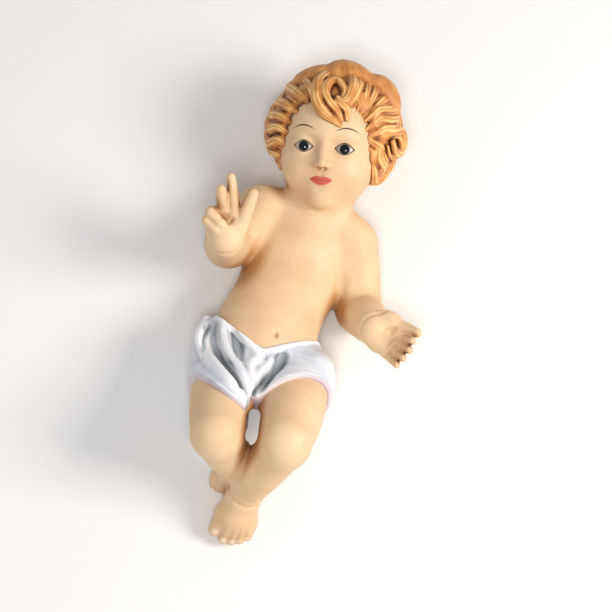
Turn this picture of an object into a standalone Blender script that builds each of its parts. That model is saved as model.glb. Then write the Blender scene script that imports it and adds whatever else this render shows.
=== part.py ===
"""Painted infant figure that lies on its back, cast in one piece, with two set glass eyes.

The figure lies along Y with its crown at +Y and its face up, +Z. The origin is on the floor, in the
middle of the flat spot under its seat. It is sculpted as soft masses that flow into one another, each
placed from the pose, and the whole is turned into one closed mesh. Its own right is at -X.
"""

import bmesh
import bpy
import numpy as np
from mathutils import Matrix

# Driving dimensions, in metres.
LENGTH = 0.303
EYE_DIAMETER = 0.015
EYE_GAP = 0.0003

# The pose and the carving keep to the figure's length: one unit is 1 mm at a length of 303 mm.
UNIT = LENGTH / 303
CELL = 1.5
MOST_FACES = 7200


def at(*place):
    """A place in the pose, in units."""
    return np.array(place, float)


def unit(vector):
    return vector / np.linalg.norm(vector)


def frame(forward, up):
    """Rows side, forward and up of a right-handed frame that faces forward, with up near the given one."""
    forward = unit(at(*forward))
    up = unit(at(*up) - at(*up) @ forward * forward)
    return np.stack([np.cross(forward, up), forward, up])


# The trunk and the joints of the pose.
PELVIS = at(0, 1, 26)
BELLY = at(-3, 27, 27.5)
RIBS = at(4, 66, 23.5)
CHEST = at(6, 88, 27)
NECK = at(8, 96, 32)
HEAD = at(10, 147, 45)
SHOULDER = {"right": at(-24, 99, 31), "left": at(36, 93.5, 27)}
ELBOW = {"right": at(-38, 70, 41), "left": at(49.5, 55.5, 17)}
WRIST = {"right": at(-38.5, 60, 80), "left": at(60, 38, 44)}
HIP = {"right": at(-20, -4, 30), "left": at(22, -4, 31)}
KNEE = {"right": at(-16.5, -56, 74), "left": at(23, -52.5, 75)}
ANKLE = {"right": at(-3.5, -62, 33), "left": at(7.5, -73, 30)}

# Head, hands and feet turn in frames of their own. A head's rows are its right, its face and its crown.
HEAD_FRAME = frame((-0.13, -0.34, 0.93), (-0.13, 1, 0.3))
# A hand's rows are across towards the thumb, out along the fingers and out of the palm.
HAND_FRAME = {
    "right": frame((-0.22, 0.85, 0.46), (0.0, -0.45, 0.89)),
    "left": frame((0.92, -0.27, 0.22), (-0.25, -0.25, 0.93)) * at(-1, 1, 1)[:, None],
}
# A foot's rows are across towards the big toe, out along the toes and out of the instep.
FOOT_FRAME = {
    "right": frame((0.05, -0.42, -0.90), (0, -0.90, 0.42)) * at(-1, 1, 1)[:, None],
    "left": frame((-0.16, -0.86, -0.48), (0.03, -0.50, 0.86)),
}


# The space that the figure takes, with some to spare.
LOW, HIGH = at(-70, -120, -12), at(105, 212, 120)


# Distances. Each form gives every point its distance from the form's surface, negative inside.


def length(vectors):
    return np.sqrt(np.einsum("ij,ij->i", vectors, vectors))


def ball(points, centre, radius):
    return length(points - centre) - radius


def egg(points, centre, radii):
    local = points - at(*centre)
    radii = at(*radii)
    near = length(local / radii)
    return near * (near - 1) / np.maximum(length(local / radii**2), 1e-9)


def limb(points, start, end, start_radius, end_radius, bulge=0.0):
    """A round-ended taper, fuller by bulge at its middle."""
    run = at(*end) - at(*start)
    share = np.clip((points - start) @ run / (run @ run), 0, 1)
    radius = start_radius + (end_radius - start_radius) * share + bulge * 4 * share * (1 - share)
    return length(points - start - share[:, None] * run) - radius


def join(first, second, soft):
    """Both forms, with the crease between them filled over a width of soft."""
    reach = np.maximum(soft - np.abs(first - second), 0) / soft
    return np.minimum(first, second) - reach * reach * soft / 4


def cut(first, second, soft):
    """The first form without the second, with the edge between them rounded over soft."""
    return -join(-first, second, soft)


def rope(points, path, radii):
    """A round rope along a path, as thick at each of its points as radii says."""
    found = np.full(len(points), 1e3)
    for start, end, start_radius, end_radius in zip(path, path[1:], radii, radii[1:]):
        found = np.minimum(found, limb(points, start, end, start_radius, end_radius))
    return found


def near(points, places, reach):
    """Which points lie within reach of the box round some places."""
    places = np.array(places)
    return ((points > places.min(0) - reach) & (points < places.max(0) + reach)).all(1)


def added(points, body, form, places, reach, soft):
    """The body joined with a form that lies round the given places."""
    here = near(points, places, reach + soft)
    body[here] = join(body[here], form(points[here]), soft)
    return body


# The trunk and limbs, plump and smooth, with the creases of a baby's joints.

UPPER_ARM = (16.5, 13.6, 0.5)
FOREARM = (13.8, 10.8, 1.0)
THIGH = (19.5, 15.3, 2.3)
SHIN = (14.3, 10.8, 1.0)
NAVEL = at(3.3, 17, 54)
GAP_LOW, GAP_HIGH, GAP_RADII = at(2.8, -54, 75), at(1.2, -41.5, 75), (2.8, 3.8)
SIGHT = at(0.02, 0.3, -0.95)


def trunk(points):
    body = egg(points, RIBS, (31, 37, 24.5))
    body = join(body, egg(points, CHEST, (34, 17, 19)), 12)
    body = join(body, egg(points, BELLY, (31, 33, 26)), 14)
    body = join(body, egg(points, PELVIS, (34, 24, 25)), 14)
    body = join(body, limb(points, SHOULDER["right"] + at(2, 3, 2), NECK + at(-4, 10, 5), 12, 12), 8)
    body = join(body, limb(points, SHOULDER["left"] + at(-3, 3, 3), NECK + at(9, 12, 6), 12, 13), 8)
    body = join(body, limb(points, NECK - at(0, 6, 2), HEAD - at(0, 26, 4), 16, 16), 9)
    return cut(body, egg(points, NAVEL, (1.0, 1.5, 3.2)), 2.2)


def thigh_gap(points):
    """The opening between the legs, that looks straight through from above the feet."""
    flat = points - points[:, 2:] / SIGHT[2] * SIGHT
    low, high = (place - place[2] / SIGHT[2] * SIGHT for place in (GAP_LOW, GAP_HIGH))
    return limb(flat, low, high, *GAP_RADII)


def arm(points, side):
    upper = limb(points, SHOULDER[side], ELBOW[side], *UPPER_ARM)
    return join(upper, limb(points, ELBOW[side], WRIST[side], *FOREARM), 4)


def leg(points, side):
    thigh = limb(points, HIP[side], KNEE[side], *THIGH)
    return join(thigh, limb(points, KNEE[side], ANKLE[side], *SHIN), 4)


# Hands. A digit is a root across, out and above the palm, its spread and curls in degrees, the length
# of its three bones and its radii.

HAND_SCALE = {"right": 0.87, "left": 0.95}
BLESSING = (
    ((9.5, 7.0, 1.5), 22, (4, -2, -2), (11, 9, 6), (5.8, 5.0, 4.4, 3.7)),
    ((6.4, 19.5, 0.0), -5, (6, 2, 2), (9.5, 7.5, 6), (4.4, 4.0, 3.6, 3.0)),
    ((-1.2, 19.5, 0.0), -4, (20, 6, 4), (7, 5.5, 4), (4.4, 4.3, 4.1, 3.6)),
    ((-8.6, 18.0, 1.0), -45, (78, 92, 24), (7, 9, 6.5), (4.0, 4.0, 3.7, 3.1)),
    ((-11.2, 12.5, 1.0), -50, (78, 92, 24), (6, 8, 6), (3.8, 3.7, 3.4, 2.8)),
)
OPEN = (
    ((7.6, 4.0, 1.0), 2, (2, 10, 8), (11, 8, 6), (5.0, 4.2, 3.8, 3.1)),
    ((2.6, 15.0, 0.0), 0, (22, 24, 18), (8.5, 6.5, 5.5), (3.2, 3.0, 2.8, 2.5)),
    ((-2.4, 15.8, 0.0), -4, (22, 24, 18), (8.5, 6.5, 5.5), (3.2, 3.0, 2.8, 2.5)),
    ((-7.4, 15.4, 0.0), -9, (24, 26, 18), (8.5, 6.5, 5.5), (3.1, 2.9, 2.7, 2.4)),
    ((-12.0, 14.2, 0.0), -14, (24, 26, 18), (8, 6.5, 5), (2.9, 2.7, 2.5, 2.2)),
)
DIGITS = {"right": BLESSING, "left": OPEN}


def digit_path(root, spread, curls, bones):
    """The joints of a finger, bent towards the palm by each curl in turn."""
    path, bend, spread = [at(*root)], 0.0, np.radians(spread)
    for curl, bone in zip(curls, bones):
        bend += np.radians(curl)
        flat = np.cos(bend)
        path.append(path[-1] + bone * at(flat * np.sin(spread), flat * np.cos(spread), np.sin(bend)))
    return path


def hand_span(side):
    """How far the longest digit reaches from the wrist."""
    return max(np.linalg.norm(root) + sum(bones) + radii[0] for root, _, _, bones, radii in DIGITS[side])


def hand(points, side):
    local = (points - WRIST[side]) @ HAND_FRAME[side].T / HAND_SCALE[side]
    palm = egg(local, (-1.5, 11.5, -0.5), (12, 12.5, 6))
    palm = join(palm, egg(local, (8.0, 8.0, 2.5), (6.8, 9.5, 5.2)), 3)
    palm = join(palm, egg(local, (-8, 7, 2.0), (5.8, 8.5, 4.6)), 3)
    palm = join(palm, limb(local, at(6, 17.5, 1.5), at(-10, 15, 1.5), 4.2, 3.8), 3)
    palm = join(palm, limb(local, at(0, -5, -2), at(0, 3, 0), 8.5, 8), 5)
    palm = cut(palm, egg(local, (-1, 13, 8), (4.5, 4.5, 3)), 4)
    for root, spread, curls, bones, radii in DIGITS[side]:
        palm = join(palm, rope(local, digit_path(root, spread, curls, bones), radii), 1.2)
    return palm * HAND_SCALE[side]


# Feet, chubby and pointed, with the toes in an arc.

# A toe is how far its tip is across and out, and its radius at its root and at its tip.
TOES = (
    (8.0, 37.5, 4.8, 4.4),
    (1.6, 40.0, 3.6, 3.2),
    (-3.6, 39.0, 3.4, 3.0),
    (-8.0, 36.6, 3.2, 2.8),
    (-11.6, 33.0, 3.0, 2.6),
)


def foot_span():
    """How far the longest toe reaches from the ankle."""
    return max(out + radius for _, out, radius, _ in TOES)


def foot(points, side):
    local = (points - ANKLE[side]) @ FOOT_FRAME[side].T
    sole = limb(local, at(0, -5, -6), at(0, 4, -3), 9.5, 9.5)
    sole = join(sole, limb(local, at(0, 2, -2), at(1, 20, -4.5), 10, 9), 6)
    sole = join(sole, egg(local, (-1.0, 23, -5.5), (13.5, 13, 6.5)), 6)
    for across, out, start_radius, end_radius in TOES:
        root, tip = at(across * 0.93, out - 9, -5.5), at(across, out - end_radius, -6.5)
        sole = join(sole, limb(local, root, tip, start_radius, end_radius), 1.6)
    return sole


# The head. Places on it are across to its right, out of the face and up to the crown.

SKULL = (33, 37, 35)
EYE_SPREAD, EYE_DEPTH, EYE_LEVEL = 12.6, 25.8, -3.0
EYE_RADIUS = EYE_DIAMETER / 2 / UNIT
LID = 1.6
EYE_WIDTH, EYE_HEIGHT = 1.6 * EYE_RADIUS, 0.88 * EYE_RADIUS


def eye_place(side):
    return at({"right": -1, "left": 1}[side] * EYE_SPREAD, EYE_DEPTH, EYE_LEVEL)


def face(local):
    skull = egg(local, (0, 0, 5), SKULL)
    skull = join(skull, egg(local, (0, 9, -11), (27.5, 25, 28)), 8)
    skull = join(skull, egg(local, (0, 12, -27), (18.5, 16, 12)), 8)
    skull = join(skull, egg(local, (0, 25.5, -33.5), (7, 6, 5.5)), 8)
    for side in (-1, 1):
        skull = join(skull, egg(local, (side * 13.8, 20, -16.5), (10.2, 11.2, 11)), 7)
        skull = join(skull, egg(local, (side * 31, -4, -9), (4, 7, 10)), 2)
        skull = cut(skull, egg(local, (side * 11.6, 38.2, -2.5), (8, 4.8, 5)), 7)
    skull = join(skull, egg(local, (0, 25.5, -22.5), (10, 8, 7)), 6)
    skull = join(skull, limb(local, at(0, 31.8, 0), at(0, 37.2, -12.4), 1.9, 3.1), 4.5)
    for side in (-1, 1):
        skull = join(skull, ball(local, at(side * 3.5, 34.4, -13.4), 2.0), 2)
        skull = cut(skull, egg(local, (side * 1.9, 35.2, -16.0), (1.0, 1.4, 0.8)), 0.8)
    skull = cut(skull, limb(local, at(0, 36.0, -17.2), at(0, 35.4, -19.6), 0.7, 0.8), 1.8)
    skull = join(skull, lips(local), 1.2)
    return cut(skull, egg(local, (0, 35.6, -28.2), (5, 2.2, 1.6)), 3)


def lips(local):
    """Two full lips with a bow in the upper one, closed in a line that lifts at the corners."""
    half = [(6.6, -22.6), (4.2, -21.9), (1.9, -21.2)]
    upper = [(-across, up) for across, up in half] + [(0, -21.6)] + half[::-1]
    lower = [(-5.4, -23.6), (-3.0, -24.6), (0, -25.0), (3.0, -24.6), (5.4, -23.6)]
    upper = [at(across, 32.9 - across**2 * 0.055, up) for across, up in upper]
    lower = [at(across, 32.6 - across**2 * 0.06, up) for across, up in lower]
    both = np.minimum(
        rope(local, upper, (0.3, 0.9, 1.35, 1.1, 1.35, 0.9, 0.3)),
        rope(local, lower, (0.4, 1.3, 1.6, 1.3, 0.4)),
    )
    seam = [at(across, 34.6 - across**2 * 0.055, -23.1 + 0.012 * across**2) for across in range(-6, 7, 3)]
    return cut(both, rope(local, seam, (0.2, 0.35, 0.4, 0.35, 0.2)), 0.5)


def head(points):
    local = (points - HEAD) @ HEAD_FRAME.T
    skull = face(local)
    for side in ("right", "left"):
        place = eye_place(side)
        skull = join(skull, ball(local, place, EYE_RADIUS + LID), 2)
    return skull


# The hair: a dome over the skull, open over the face, with swells and locks that lie on it. A place on
# the dome is an azimuth from the face towards the figure's right, an angle down from the crown, both in
# degrees, and a height over the dome. A lock is its places and its radius at each.

DOME, DOME_RADII = at(-0.5, -3, 8), at(39, 39.5, 36.5)
OPENING, OPENING_WIDTH, OPENING_TOP = -3.0, 27.5, 27.0
NAPE = -21.0
FORELOCK = (
    (((25, 24, 0), (20, 40, 1), (15, 53, 1), (11, 65, 1), (3, 75, 0.5), (-12, 85, 0)),
     (4.2, 4.6, 4.4, 4.2, 3.6, 1.8)),
    (((-12, 59, 1), (-15, 50, 1.5), (-10, 40, 2), (-2, 36, 2), (6, 43, 2), (6, 54, 1.5), (0, 64, 1),
      (-8, 72, 0.5), (-13, 80, 0)), (1.6, 2.2, 2.6, 2.8, 3.0, 3.2, 3.2, 2.8, 1.6)),
    (((-62, 12, -1), (-28, 37, 1), (-21, 52, 1), (-15, 61, 1), (-6, 64, 1)), (4.2, 3.8, 3.4, 3.0, 2.2)),
    (((-8, 60, 1), (-13, 66, 1), (-17, 71, 0.5), (-18, 79, 0)), (2.6, 3.2, 2.8, 1.6)),
    (((-70, 18, 0), (-36, 40, 0.5), (-26, 53, 0), (-19, 64, -0.5)), (3.6, 3.6, 3.2, 2.0)),
)
SIDE_LOCKS = (
    (((72, 31, 0), (75, 40, 0), (72, 48, 0), (39, 57, 0), (23, 62, -0.5)), (4.0, 4.5, 4.5, 3.6, 2.2)),
    (((55, 35, -0.5), (30, 46, 0), (20, 55, 0), (18, 62, -0.5)), (3.0, 3.2, 3.0, 1.8)),
    (((76, 48, -1.5), (78, 58, -1), (65, 66, 0), (46, 70, 0), (34, 74, -0.5)), (3.5, 4.2, 4.2, 3.4, 2.0)),
    (((78, 62, -1.5), (79, 72, 0), (70, 79, 0), (50, 81, 0), (39, 86, -0.5)), (3.5, 4.2, 4.2, 3.4, 2.0)),
    (((80, 77, -0.5), (80, 85, 0.8), (70, 91, 0.5), (51, 91, 0), (41, 97, -0.5)), (3.5, 4.2, 4.2, 3.4, 2.0)),
    (((81, 90, 0), (81, 98, 0.8), (67, 105, 0.5), (51, 103, 0), (44, 111, -0.5)), (3.5, 4.2, 4.2, 3.4, 2.0)),
    (((82, 103, 0.4), (81, 111, 0.2), (64, 115, 0), (54, 123, -0.5)), (3.6, 4.2, 3.8, 2.0)),
    (((82, 114, -1.5), (82, 123, -2), (70, 129, -0.5), (60, 137, -1)), (3.6, 4.2, 3.8, 2.0)),
    (((-60, 16, -1), (-42, 35, 0), (-31, 49, 0), (-31, 62, -0.5)), (3.0, 3.0, 2.8, 1.8)),
    (((-82, 21, -1), (-57, 36, 0), (-41, 51, 0), (-35, 65, -0.5)), (3.0, 3.2, 3.0, 1.8)),
    (((-86, 30, 0), (-72, 39, 0), (-50, 52, 0), (-38, 67, -0.5)), (3.0, 3.6, 3.4, 2.0)),
    (((-88, 42, 1), (-80, 50, 0), (-60, 57, 0), (-41, 69, -0.5)), (3.0, 3.6, 3.6, 2.0)),
    (((-92, 52, 2), (-90, 60, 1), (-70, 64, 0), (-52, 66, -0.5), (-43, 74, -3.5)), (3.5, 4.0, 4.0, 3.6, 2.6)),
    (((-94, 62, 1), (-90, 71, 0), (-67, 74, 0), (-52, 75, -0.5), (-45, 83, -3.5)), (3.6, 4.0, 4.0, 3.6, 2.6)),
    (((-95, 73, 0), (-76, 81, 0), (-56, 83, -0.5), (-47, 91, -3.5)), (3.6, 4.0, 3.6, 2.6)),
    (((-47, 88, -4), (-68, 85, 0), (-92, 83, 0.5), (-98, 91, 2), (-95, 99, 1.5), (-79, 100, 1), (-70, 94, 1)),
     (3.0, 3.6, 3.8, 3.8, 3.4, 3.0, 2.0)),
    (((-46, 96, -4), (-56, 102, -1), (-58, 110, 0), (-73, 118, 0), (-90, 115, 0)), (3.0, 3.8, 3.8, 3.2, 2.2)),
    (((-80, 104, 0), (-95, 110, 0), (-98, 118, 1), (-95, 126, 0), (-72, 124, 0)), (3.0, 3.8, 3.8, 3.2, 2.2)),
    (((-54, 116, -3), (-62, 126, 0), (-79, 135, 0.5), (-97, 132, 1.5), (-99, 124, 2), (-94, 117, 1)),
     (2.6, 3.6, 3.8, 3.6, 3.0, 2.0)),
)
BACK_LOCKS = range(100, 261, 20)
SWELLS = (
    (((80, 44, -7), (78, 32, -4.5), (62, 18, -4), (30, 6, -4)), (9, 11, 11, 10)),
    (((24, 34, -10), (10, 18, -7), (-20, 4, -2.5), (-66, 14, -2.5), (-80, 26, -3)), (8, 10, 12, 12, 10)),
    (((-86, 26, -3), (-89, 38, 0.5), (-91, 50, -0.5), (-92, 64, -4.5), (-92, 78, -7)), (8, 10, 10, 9, 8)),
)


def on_dome(azimuth, down, lift):
    azimuth, down = np.radians(azimuth), np.radians(down)
    way = at(np.sin(down) * np.sin(azimuth), np.sin(down) * np.cos(azimuth), np.cos(down))
    return DOME + way * (DOME_RADII + lift)


def wavy_lock(start, end, thick, waves=2, swing=5.0):
    """A lock from start to end that waves sideways, swells in the middle and ends in a small curl."""
    path, radii = [], []
    for share in np.linspace(0, 1, 11):
        side = swing * np.sin(2 * np.pi * waves * share)
        azimuth = start[0] + (end[0] - start[0]) * share
        down = start[1] + (end[1] - start[1]) * share
        path.append(on_dome(azimuth, down + side, -thick * 0.45 + 1.4 * np.sin(np.pi * share)))
        radii.append(thick * (0.75 + 0.35 * np.sin(np.pi * share) - 0.35 * share**3))
    return path, radii


def locks():
    """All the locks: a path and radii each."""
    found = []
    for points, radii in FORELOCK + SIDE_LOCKS + SWELLS:
        found.append(smooth_path([on_dome(*place) for place in points], radii))
    for azimuth in BACK_LOCKS:
        found.append(wavy_lock((azimuth - 8, 30), (azimuth + 8, 118), 7.0))
    return found


def smooth_path(path, radii, steps=3):
    """The path and radii with rounded bends, through all its points."""
    path = np.column_stack([path, radii])
    ends = np.vstack([2 * path[0] - path[1], path, 2 * path[-1] - path[-2]])
    found = []
    for before, start, end, after in zip(ends, ends[1:], ends[2:], ends[3:]):
        for share in np.arange(steps) / steps:
            slope = (end - before) / 2
            bend = before - 2.5 * start + 2 * end - after / 2
            twist = 1.5 * (start - end) + (after - before) / 2
            found.append(start + share * slope + share**2 * bend + share**3 * twist)
    found = np.array(found + [path[-1]])
    return list(found[:, :3]), list(found[:, 3])


def hair(points):
    local = (points - HEAD) @ HEAD_FRAME.T
    dome = egg(local, DOME, DOME_RADII)
    across = np.abs(local[:, 0] - OPENING) / OPENING_WIDTH
    over = np.maximum(local[:, 2], 0) / OPENING_TOP
    gate = ((across**2.6 + over**2.6 + 1e-9) ** (1 / 2.6) - 1) * OPENING_WIDTH
    dome = cut(dome, np.maximum(gate, -local[:, 1]), 4)
    dome = cut(dome, local[:, 2] - NAPE, 3)
    for path, radii in locks():
        here = near(local, path, max(radii) + 2.5)
        dome[here] = join(dome[here], rope(local[here], path, radii), 1.5)
    return dome


def flesh(points):
    body = trunk(points)
    for side in ("right", "left"):
        joints = [SHOULDER[side], ELBOW[side], WRIST[side]]
        body = added(points, body, lambda p: arm(p, side), joints, 1.1 * max(UPPER_ARM), 6)
        joints = [HIP[side], KNEE[side], ANKLE[side]]
        body = added(points, body, lambda p: leg(p, side), joints, 1.25 * max(THIGH), 5)
    body = cut(body, thigh_gap(points), 3)
    for side in ("right", "left"):
        body = added(points, body, lambda p: hand(p, side), [WRIST[side]], hand_span(side), 2)
        body = added(points, body, lambda p: foot(p, side), [ANKLE[side]], foot_span(), 2)
    return added(points, body, head, [HEAD], 1.35 * max(SKULL), 5)


# The loincloth: a shell round the hips from the waist to a slanting hem on each thigh, gathered into
# folds between the thighs. A fold is drawn flat, seen from above, and laid on the cloth.

CLOTH = 2.6
HEM = {"right": (51.5, 0.8, -0.03), "left": (25.6, -0.62, 0.0)}
WAIST_TOP = 24.0
FOLDS = (
    (((-40, 20), (-40.5, 8), (-35, -2), (-27, -13), (-16, -24), (-7, -32)), (2.8, 3.8, 4.2, 4.2, 4.0, 2.6)),
    (((-29, 22), (-26.5, 8), (-21, -4), (-11, -15), (-4, -27)), (2.4, 3.2, 3.6, 3.6, 2.4)),
    (((-33, 24), (-16, 12.5), (-7, 6.5), (-4, 0.5), (-7, -7), (-4, -24)), (1.8, 2.4, 3.0, 3.2, 2.8, 2.2)),
    (((5, 0), (0, -9), (-3, -19), (-4, -29)), (2.0, 2.8, 2.6, 2.0)),
)
VALLEYS = (
    (((-35, 17), (-33, 6), (-27, -5), (-18, -16), (-10, -26)), (2.4, 3.0, 2.6, 2.0, 1.2)),
    (((-22, 13), (-17, 4), (-14, -3)), (1.4, 2.6, 1.4)),
    (((10, 5), (8.6, -1), (4.3, -12.5), (-1, -26)), (2.6, 3.0, 2.4, 1.6)),
    (((-43, 16), (-44.5, 4), (-38, -10)), (0.8, 1.4, 0.8)),
)


def waist_line(across):
    """How far up the trunk the cloth's edge stands over each place across, lowest below the navel."""
    return np.minimum(5 + np.sqrt((0.6 * (across + 3)) ** 2 + 4), WAIST_TOP)


def past_hem(points, side):
    """How far each place is past the cloth's edge on a thigh, which slants and bends across it."""
    reach, slant, bend = HEM[side]
    from_hip = points - HIP[side]
    across = from_hip[:, 0]
    past = from_hip @ unit(KNEE[side] - HIP[side]) - reach - slant * across - bend * across**2
    return past / np.hypot(1, slant + 2 * bend * across)


def hips(points):
    body = egg(points, PELVIS, (34, 24, 25))
    body = join(body, egg(points, BELLY, (31, 33, 26)), 14)
    for side in ("right", "left"):
        body = join(body, limb(points, HIP[side], KNEE[side], *THIGH), 7)
    body = join(body, egg(points, (-4, -17, 45), (8, 12, 12)), 6)
    body = join(body, egg(points, (-33, 6, 34), (9, 17, 16)), 6)
    return join(body, egg(points, (32, 1, 35), (9, 13, 14)), 6)


def laid(path, lift):
    """The flat path dropped on to the cloth from above."""
    places = np.array([(across, along, 130.0) for across, along in path])
    for _ in range(60):
        places[:, 2] -= 0.8 * (hips(places) - CLOTH)
    places[:, 2] += lift
    return places


def loincloth(points):
    shell = hips(points) - CLOTH
    for path, radii in FOLDS:
        path, radii = smooth_path(laid(path, -1.0), radii)
        here = near(points, path, 8)
        shell[here] = join(shell[here], rope(points[here], path, radii), 2.5)
    for path, radii in VALLEYS:
        path, radii = smooth_path(laid(path, 0.6), radii)
        here = near(points, path, 8)
        shell[here] = cut(shell[here], rope(points[here], path, radii), 2.5)
    shell = cut(shell, thigh_gap(points), 2)
    shell = cut(shell, waist_line(points[:, 0]) - points[:, 1], 2)
    for side in ("right", "left"):
        own = points[:, 0] < -2 if side == "right" else points[:, 0] >= -2
        shell[own] = cut(shell[own], -past_hem(points[own], side), 2)
    return shell


def figure(points):
    body = flesh(points)
    body = added(points, body, hair, [HEAD], 1.6 * max(DOME_RADII), 1)
    return added(points, body, loincloth, [PELVIS], 1.2 * HEM["right"][0], 0.8)


def stretched(values, times, axis):
    """A grid of values with `times` as many steps along one axis, in between by straight lines."""
    places = np.arange((values.shape[axis] - 1) * times + 1) / times
    first = np.minimum(places.astype(int), values.shape[axis] - 2)
    share = (places - first).reshape([-1 if a == axis else 1 for a in range(3)]).astype(np.float32)
    low, high = np.take(values, first, axis), np.take(values, first + 1, axis)
    return low + (high - low) * share


def sampled(form, low, high, cell, times=4):
    """The form's distances on a grid of cells, worked out in full only near the surface."""
    wide = cell * times
    counts = np.ceil((high - low) / wide).astype(int) + 1
    grid = np.stack(np.meshgrid(*[np.arange(n) for n in counts], indexing="ij"), -1).reshape(-1, 3)
    values = form(low + grid * wide).reshape(counts).astype(np.float32)
    for axis in range(3):
        values = stretched(values, times, axis)
    close = np.flatnonzero(np.abs(values) < max(1.2 * wide, 5))
    for block in np.array_split(close, len(close) // 200000 + 1):
        places = np.stack(np.unravel_index(block, values.shape), 1)
        values.ravel()[block] = form(low + places * cell)
    return values


def netted(values, low, cell):
    """Points and quads of the closed net round the grid's negative values."""
    inside = values < 0
    hops = np.array((values.shape[1] * values.shape[2], values.shape[2], 1))
    places, quads = [], []
    for axis in range(3):
        edges = np.argwhere(np.diff(inside, axis=axis))
        start = edges @ hops
        first, second = values.ravel()[start], values.ravel()[start + hops[axis]]
        place = edges.astype(float)
        place[:, axis] += first / (first - second)
        across, along = hops[(axis + 1) % 3], hops[(axis + 2) % 3]
        ring = np.stack([start - across - along, start - along, start, start - across], 1)
        ring[first > 0] = ring[first > 0, ::-1]
        places.append(np.repeat(place, 4, axis=0))
        quads.append(ring)
    quads = np.concatenate(quads)
    cells, owner = np.unique(quads.ravel(), return_inverse=True)
    places = np.concatenate(places)
    share = np.bincount(owner)
    points = np.stack([np.bincount(owner, places[:, a]) / share for a in range(3)], 1)
    return low + points * cell, owner.reshape(-1, 4)


# The pieces as objects, in metres. Cutters flatten the cast where it lies and open its eyes.

COLOURS = {"flesh_paint": (0.85, 0.62, 0.40), "glass_eye": (0.03, 0.035, 0.05)}
ROUGHNESS = {"flesh_paint": 0.5, "glass_eye": 0.05}


def paint(name):
    made = bpy.data.materials.new(name)
    made.use_nodes = True
    shader = made.node_tree.nodes["Principled BSDF"]
    shader.inputs["Base Color"].default_value = (*COLOURS[name], 1)
    shader.inputs["Roughness"].default_value = ROUGHNESS[name]
    return made


def placed(name, shape, collection, on_head=None):
    """An object of a bmesh, turned with the head and set at a place on it if one is given."""
    mesh = bpy.data.meshes.new(name)
    shape.to_mesh(mesh)
    shape.free()
    made = bpy.data.objects.new(name, mesh)
    if on_head is not None:
        made.matrix_world = Matrix(HEAD_FRAME.T).to_4x4()
        made.location = (HEAD + on_head @ HEAD_FRAME) * UNIT
    collection.objects.link(made)
    return made


def globe(radius):
    shape = bmesh.new()
    bmesh.ops.create_uvsphere(shape, u_segments=20, v_segments=10, radius=radius)
    return shape


def almond():
    """A prism out of the face as wide and high as the eye's opening, pointed at both corners."""
    shape = bmesh.new()
    bmesh.ops.create_cone(shape, cap_ends=True, segments=20, radius1=1, radius2=1, depth=2 * EYE_RADIUS)
    for vertex in shape.verts:
        across, up, out = vertex.co
        vertex.co = at(across * EYE_WIDTH / 2, out + 1.5 * EYE_RADIUS, up * abs(up) * EYE_HEIGHT / 2) * UNIT
    bmesh.ops.recalc_face_normals(shape, faces=shape.faces)
    return shape


def below_floor():
    """A slab under the floor, wider than the figure."""
    shape = bmesh.new()
    bmesh.ops.create_cube(shape, size=2 * LENGTH)
    bmesh.ops.translate(shape, verts=shape.verts, vec=(0, 0, -LENGTH))
    return shape


def take_out(body, cutter):
    cutter.display_type = "WIRE"
    cutter.hide_render = True
    taken = body.modifiers.new(cutter.name, "BOOLEAN")
    taken.operation = "DIFFERENCE"
    taken.solver = "EXACT"
    taken.object = cutter


def cast(collection):
    """The figure's whole skin as one mesh, then with fewer faces where it is smooth."""
    points, quads = netted(sampled(figure, LOW, HIGH, CELL), LOW, CELL)
    mesh = bpy.data.meshes.new("figure")
    mesh.from_pydata((points * UNIT).tolist(), [], quads.tolist())
    body = bpy.data.objects.new("figure", mesh)
    collection.objects.link(body)
    skin = body.modifiers.new("one_skin", "REMESH")
    skin.mode = "VOXEL"
    skin.voxel_size = CELL * UNIT
    fewer = body.modifiers.new("fewer_faces", "DECIMATE")
    fewer.ratio = MOST_FACES / (2 * len(quads))
    return body


def main():
    for old in list(bpy.data.objects):
        bpy.data.objects.remove(old)
    parts = bpy.data.collections.new("infant_figurine")
    cutters = bpy.data.collections.new("cutters")
    bpy.context.scene.collection.children.link(parts)
    bpy.context.scene.collection.children.link(cutters)

    body = cast(parts)
    body.data.materials.append(paint("flesh_paint"))
    take_out(body, placed("below_floor", below_floor(), cutters))
    for side in ("right", "left"):
        place = eye_place(side)
        eye = placed("glass_eye_" + side, globe(EYE_DIAMETER / 2), parts, place)
        eye.data.materials.append(paint("glass_eye"))
        take_out(body, placed("socket_" + side, globe(EYE_DIAMETER / 2 + EYE_GAP), cutters, place))
        take_out(body, placed("opening_" + side, almond(), cutters, place))


if __name__ == "__main__":
    main()
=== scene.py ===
"""Painted plaster figure of an infant on its back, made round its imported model, on pale studio paper.

Lengths in the sculpture are in millimetres and go to metres as each mesh is made. The figure lies along Y,
crown at +Y and face up, and its own right is at -X. Each section makes one part of it as it is put together.
"""

import bpy
import numpy as np
from mathutils import Matrix, Vector


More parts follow.
